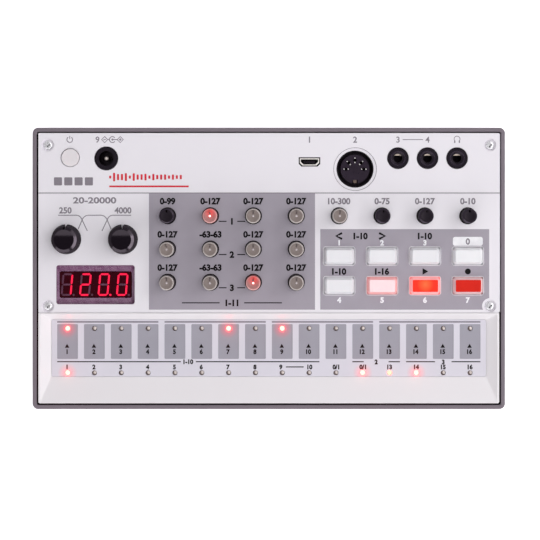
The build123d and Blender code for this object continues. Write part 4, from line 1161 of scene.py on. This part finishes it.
class SEQUENCER_OT_sockets(Operator):
    """Finishes the sockets and jacks, and adds their contacts, rings and thin trim"""
    bl_idname = "sequencer.sockets"
    bl_label = "Sockets"

    def execute(self, context):
        dim = shine(0.35, context.scene.sequencer_colours.violet)
        black = moulded("socket_black", tint(18, 14, 22), 0.38, dim, grain=2000, depth=0.003)
        dress(black, "mini_jacks", "dc_jack", "usb_tongue")
        dress(moulded("insert_black", tint(37, 29, 41), 0.32, dim, cloud=250, grain=2000, depth=0.004,
                      fade=0.2), "din_socket")
        dress(moulded("shield_black", tint(7, 5, 8), 0.45, dim), "din_shield")
        # The pin: dark sides that paint its shade, and a light tip that paints its highlight.
        x, y, z = middle("dc_pin")
        tip_highlight = (x, y, top_of("dc_pin"))
        dress(moulded("pin_metal", tint(52, 44, 46), 0.35, grain=3000,
                      painted_light=[(tip_highlight, tint(226, 214, 208), 0.15 * mm, 0.8 * mm)]), "dc_pin")
        self.make_data_socket(black)
        self.make_round_socket()
        self.make_jacks(dim)
        return {"FINISHED"}

    def make_data_socket(self, black):
        """The metal shell, its inside below the rim darkened as painted shade, and a black sheet in the gap
        round it, which paints the shadow there.
        """
        low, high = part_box("usb_socket")
        shell = Finish("shell_metal", {"Metallic": 0.25})
        level = shell.add("ShaderNodeSeparateXYZ", {0: shell.place}).outputs["Z"]
        # The shell's inside, below the rim, is darkened as painted shade.
        shell.feed("Base Color", shell.mix(shell.spread(level, 0, 1, high.z - 0.9 * mm, high.z - 0.3 * mm),
                                           solid(tint(16, 12, 17)), solid(tint(250, 244, 240))))
        shell.gloss(0.22, 0.4, 1500, 3.0)
        shell.bump(shell.noise(4000), 0.001)
        dress(shell.material, "usb_socket")
        # A black sheet in the gap round the shell paints the shadow there.
        gap, deep = 0.44 * mm, top_of("control_panel") - 0.9 * mm
        usb_shadow_sheet = patch(low.x - gap, high.x + gap, low.y - gap, high.y + gap, deep, 0.4 * mm)
        cut(usb_shadow_sheet, patch(low.x, high.x, low.y, high.y, deep - mm, 3 * mm))
        settle(usb_shadow_sheet, "usb_gasket", body, "socket_black", black)

    def make_round_socket(self):
        """Five contact tubes, dark to paint the shade in their holes, each between two bright leaves that are
        partly contacts and partly painted glints, and the tab in the key notch.
        """
        centre = middle("din_socket")
        ground = top_of("din_socket")
        poles, leaf_glints = [], []
        for pole in range(5):
            turn = math.radians(45 * pole)
            way = Vector((math.cos(turn), math.sin(turn)))
            x, y = centre.xy + 3.6 * mm * way
            poles.append(cup(x, y, ground - 2.9 * mm, ground - 0.9 * mm, 0.66 * mm, 0.06 * mm, 1.9 * mm))
            for reach in (2.75 * mm, 4.5 * mm):
                x, y = centre.xy + reach * way
                leaf_glints.append(spot(x, y, 0.24 * mm, ground - 0.5 * mm, 0.35 * mm, 10))
        tab = spot(centre.x, centre.y - 5.0 * mm, 0.8 * mm, ground - 0.9 * mm, 0.5 * mm, 24)
        settle(tab, "socket_tab", body, "socket_metal", metal("tab_metal", tint(120, 102, 94), 0.4, bare=0.3))
        # The tubes' dark colour paints the shade in the holes; the bright leaves paint the contacts' glints.
        settle(join(poles), "socket_poles", body, "socket_metal", metal("pole_metal", tint(34, 30, 32), 0.4))
        settle(join(leaf_glints), "socket_leaves", body, "socket_metal",
               metal("leaf_metal", tint(250, 246, 244), 0.3, bare=0.2))

    def make_jacks(self, dim):
        """A raised ring and a contact spring for each jack."""
        top = top_of("mini_jacks")
        rings, springs = [], []
        for x, y in jack_places():
            rings.append(bead(x, y, top, 2.85 * mm, 0.16 * mm))
            spring = spot(x, y, 1.79 * mm, top - 1.9 * mm, 0.5 * mm, 40)
            open_mesh(spring)
            slice_off((x, y + 1.1 * mm, 0), (0, -1, 0), True)
            close_mesh()
            springs.append(spring)
        settle(join(rings), "jack_rings", body, "socket_black",
               moulded("ring_black", tint(48, 40, 56), 0.3, dim, grain=2000))
        settle(join(springs), "jack_springs", body, "socket_metal",
               metal("jack_brass", tint(240, 222, 206), 0.3, bare=0.4))


class SEQUENCER_OT_screws(Operator):
    """Builds the four round-headed panel screws with their cross slots, and paints shadow into two arms of
    each slot
    """
    bl_idname = "sequencer.screws"
    bl_label = "Panel screws"

    def execute(self, context):
        low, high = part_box("panel_screws")
        x, y, top = low.x + screw_radius, low.y + screw_radius, high.z
        seat = top - 1.2 * mm
        collar = dome(x, y, seat, seat + 0.2 * mm, seat + 0.45 * mm, screw_radius, 40)
        head = dome(x, y, seat, seat + 0.5 * mm, top, 1.8 * mm, 40, 12)
        for wide, deep in ((0.24 * mm, 1.05 * mm), (1.05 * mm, 0.24 * mm)):
            cut(head, patch(x - wide, x + wide, y - deep, y + deep, top - 0.5 * mm, mm))
        # Dark patches in the right and lower arms of each slot paint the shadow there.
        near, far = 0.2 * mm, 0.95 * mm
        floor, ink = top - 0.52 * mm, 0.06 * mm
        shade = join([patch(x - near, x + near, y - far, y - near, floor, ink),
                      patch(x + near, x + far, y - near, y + near, floor, ink)])
        deselect()
        bpy.ops.mesh.primitive_cylinder_add(vertices=24, radius=1.15 * mm, depth=seat - low.z,
                                            location=(x, y, (seat + low.z) / 2))
        screw = join([head, collar, bpy.context.object])
        across, up = high.x - low.x - 2 * screw_radius, high.y - low.y - 2 * screw_radius
        finishes = {
            "panel_screw_heads": (screw, metal("screw_steel", tint(246, 245, 248), 0.26, bare=0.4),
                                  "panel_screws"),
            "panel_screw_slots": (shade, metal("slot_shade", tint(40, 36, 42), 0.5)),
        }
        for name, (first, finish, *stands_for) in finishes.items():
            others = [copy_of(first, *step) for step in ((across, 0), (0, up), (across, up))]
            settle(join([first] + others), name, body, "screw_steel", finish, *stands_for)
        return {"FINISHED"}


class SEQUENCER_OT_inside(Operator):
    """Finishes the boards, switches, cells and contacts inside"""
    bl_idname = "sequencer.inside"
    bl_label = "Inside"

    def execute(self, context):
        board = Finish("circuit_board", coat(0.3, 0.2))
        trace = board.add("ShaderNodeTexBrick", {
            "Vector": board.place, "Scale": 180.0, "Mortar Size": 0.03, "Color1": solid(tint(16, 52, 38)),
            "Color2": solid(tint(13, 45, 33)), "Mortar": solid(tint(40, 84, 62))})
        board.feed("Base Color", trace.outputs["Color"])
        board.gloss(0.3, 0.45, 300)
        board.bump(trace.outputs["Fac"], 0.01)
        dress(board.material, "main_board", "panel_board", "touch_board")
        dress(moulded("component_black", tint(38, 37, 40), 0.5, depth=0.004), "board_header",
              "processor_chip", "slim_pots", "isolator_pots", "key_switches", "power_switch")
        dress(metal("board_screw_steel", tint(205, 203, 206), 0.3), "board_screws")
        dress(metal("contact_metal", tint(214, 210, 200), 0.3), "battery_contacts")

        wrap = Finish("cell_wrap", coat(0.4, 0.15))
        bands = wrap.add("ShaderNodeTexWave", {"Vector": wrap.place, "Scale": 7.0, "Distortion": 0.0},
                         wave_type="BANDS", bands_direction="X")
        wrap.feed("Base Color", wrap.mix(wrap.spread(bands.outputs["Fac"], 0, 1, 0.45, 0.55),
                                         solid(tint(60, 64, 72)), solid(tint(176, 180, 186))))
        wrap.gloss(0.25, 0.4, 400)
        wrap.bump(wrap.noise(1500), 0.004)
        dress(wrap.material, "batteries")
        return {"FINISHED"}


class SEQUENCER_OT_stage(Operator):
    """Sets the floor, the studio light and the camera"""
    bl_idname = "sequencer.stage"
    bl_label = "Stage"

    def execute(self, context):
        scene = context.scene
        colours, light, view = chosen(context, "colours", "light", "view")
        self.lay_floor(colours, light)
        self.light_sky(scene, light)

        # Name, place, aim, power, width and depth of each light. The last one shows in no gloss.
        self.hang("key_light", (0.75, 0.55, 0.75), (0, 0, 0.03), light.key, 0.8, 0.8)
        self.hang("fill_light", (-0.3, -0.85, 0.52), (0, 0, 0.03), light.fill, 1.2, 0.5)
        self.hang("side_light", (0.78, -0.2, 0.76), (-0.05, 0, 0.04), light.side, 1.5, 0.16)
        self.hang("top_light", (-0.188, 0.1, 0.945), (-0.188, 0.1, 0), light.top, 0.15, 0.212)
        self.hang("high_light", (0.32, -0.05, 1.0), (0.1, 0, 0.04), light.high, 0.2, 0.5)
        self.hang("over_light", (0.1, 0.1, 1.1), (0, 0, 0.04), light.over, 0.5, 0.5).visible_glossy = False

        self.set_camera(scene, view)
        self.add_bloom(scene, light)
        return {"FINISHED"}

    def lay_floor(self, colours, light):
        """A pale sheet, just under the feet."""
        deselect()
        bpy.ops.mesh.primitive_plane_add(size=6.0, location=(0, 0, -0.05 * mm))
        floor = bpy.context.object
        floor.name = "floor"
        paper = {**shine(0.1), **emission((1, 1, 1), light.floor)}
        floor.data.materials.append(moulded("floor_paper", colours.floor, 0.7, paper, cloud=3, grain=700,
                                            depth=0.01, fade=0.004))

    def light_sky(self, scene, light):
        """Even light from all round, weaker overhead."""
        scene.world = bpy.data.worlds.new("studio")
        scene.world.use_nodes = True
        nodes, links = scene.world.node_tree.nodes, scene.world.node_tree.links
        sky = nodes["Background"]
        sky.inputs["Strength"].default_value = light.sky
        split = nodes.new("ShaderNodeSeparateXYZ")
        links.new(nodes.new("ShaderNodeTexCoord").outputs["Generated"], split.inputs["Vector"])
        shade = nodes.new("ShaderNodeValToRGB")
        round_about, overhead = shade.color_ramp.elements
        round_about.position, overhead.position = 0.74, 0.9
        round_about.color = solid((0.985, 0.97, 1.0))
        overhead.color = solid((light.sky_top,) * 3)
        links.new(split.outputs["Z"], shade.inputs["Fac"])
        links.new(shade.outputs["Color"], sky.inputs["Color"])

    def hang(self, name, place, aim, power, wide, deep):
        """A flat studio light that points at an aim."""
        deselect()
        bpy.ops.object.light_add(type="AREA", location=place)
        lamp = bpy.context.object
        lamp.name = name
        lamp.data.shape = "RECTANGLE"
        lamp.data.size, lamp.data.size_y = wide, deep
        lamp.data.energy = power
        lamp.rotation_euler = (Vector(aim) - Vector(place)).to_track_quat("-Z", "Y").to_euler()
        return lamp

    def set_camera(self, scene, view):
        """A camera that looks straight down, with the part in the middle of its picture."""
        deselect()
        place = (*view.foot, top_of("control_panel") + view.height)
        bpy.ops.object.camera_add(location=place, rotation=(0, 0, 0))
        scene.camera = bpy.context.object
        camera = scene.camera.data
        camera.sensor_width = 36
        camera.lens = camera.sensor_width * view.height / view.width
        camera.shift_x, camera.shift_y = ((centre - foot) / view.width
                                          for centre, foot in zip(view.middle, view.foot))
        camera.clip_start, camera.clip_end = 0.01, 20
        scene.view_settings.view_transform = "Standard"

    def add_bloom(self, scene, light):
        """A soft halo round what is lit."""
        scene.use_nodes = True
        nodes, links = scene.node_tree.nodes, scene.node_tree.links
        nodes.clear()
        bloom = nodes.new("CompositorNodeGlare")
        bloom.glare_type = "BLOOM"
        for socket, value in (("Threshold", 3.0), ("Strength", light.bloom), ("Size", 0.5)):
            bloom.inputs[socket].default_value = value
        links.new(nodes.new("CompositorNodeRLayers").outputs["Image"], bloom.inputs["Image"])
        links.new(bloom.outputs["Image"], nodes.new("CompositorNodeComposite").inputs["Image"])


class SEQUENCER_PT_bench(Panel):
    """The pieces and the stage, one button each, and their settings"""
    bl_idname = "SEQUENCER_PT_bench"
    bl_label = "Sample sequencer"
    bl_space_type = "VIEW_3D"
    bl_region_type = "UI"
    bl_category = "Sequencer"

    def draw(self, context):
        for operator in operators:
            self.layout.operator(operator.bl_idname)
        for group in groups:
            settings = getattr(context.scene, group)
            for name in settings.__annotations__:
                self.layout.prop(settings, name)


operators = (SEQUENCER_OT_case, SEQUENCER_OT_panel, SEQUENCER_OT_marks, SEQUENCER_OT_strip,
             SEQUENCER_OT_lamps, SEQUENCER_OT_display, SEQUENCER_OT_knobs, SEQUENCER_OT_keys,
             SEQUENCER_OT_sockets, SEQUENCER_OT_screws, SEQUENCER_OT_inside, SEQUENCER_OT_stage)
groups = {"sequencer_sizes": SequencerSizes, "sequencer_colours": SequencerColours,
          "sequencer_light": SequencerLight, "sequencer_view": SequencerView}


def register():
    """Adds the settings, the operators and the panel."""
    for name, group in groups.items():
        bpy.utils.register_class(group)
        setattr(bpy.types.Scene, name, PointerProperty(type=group))
    for kind in operators + (SEQUENCER_PT_bench,):
        bpy.utils.register_class(kind)


def unregister():
    """Takes them away again."""
    for kind in reversed(operators + (SEQUENCER_PT_bench,)):
        bpy.utils.unregister_class(kind)
    for name, group in groups.items():
        delattr(bpy.types.Scene, name)
        bpy.utils.unregister_class(group)


def main():
    """Runs every operator in order."""
    register()
    for operator in operators:
        family, name = operator.bl_idname.split(".")
        getattr(getattr(bpy.ops, family), name)()


if __name__ == "__main__":
    main()
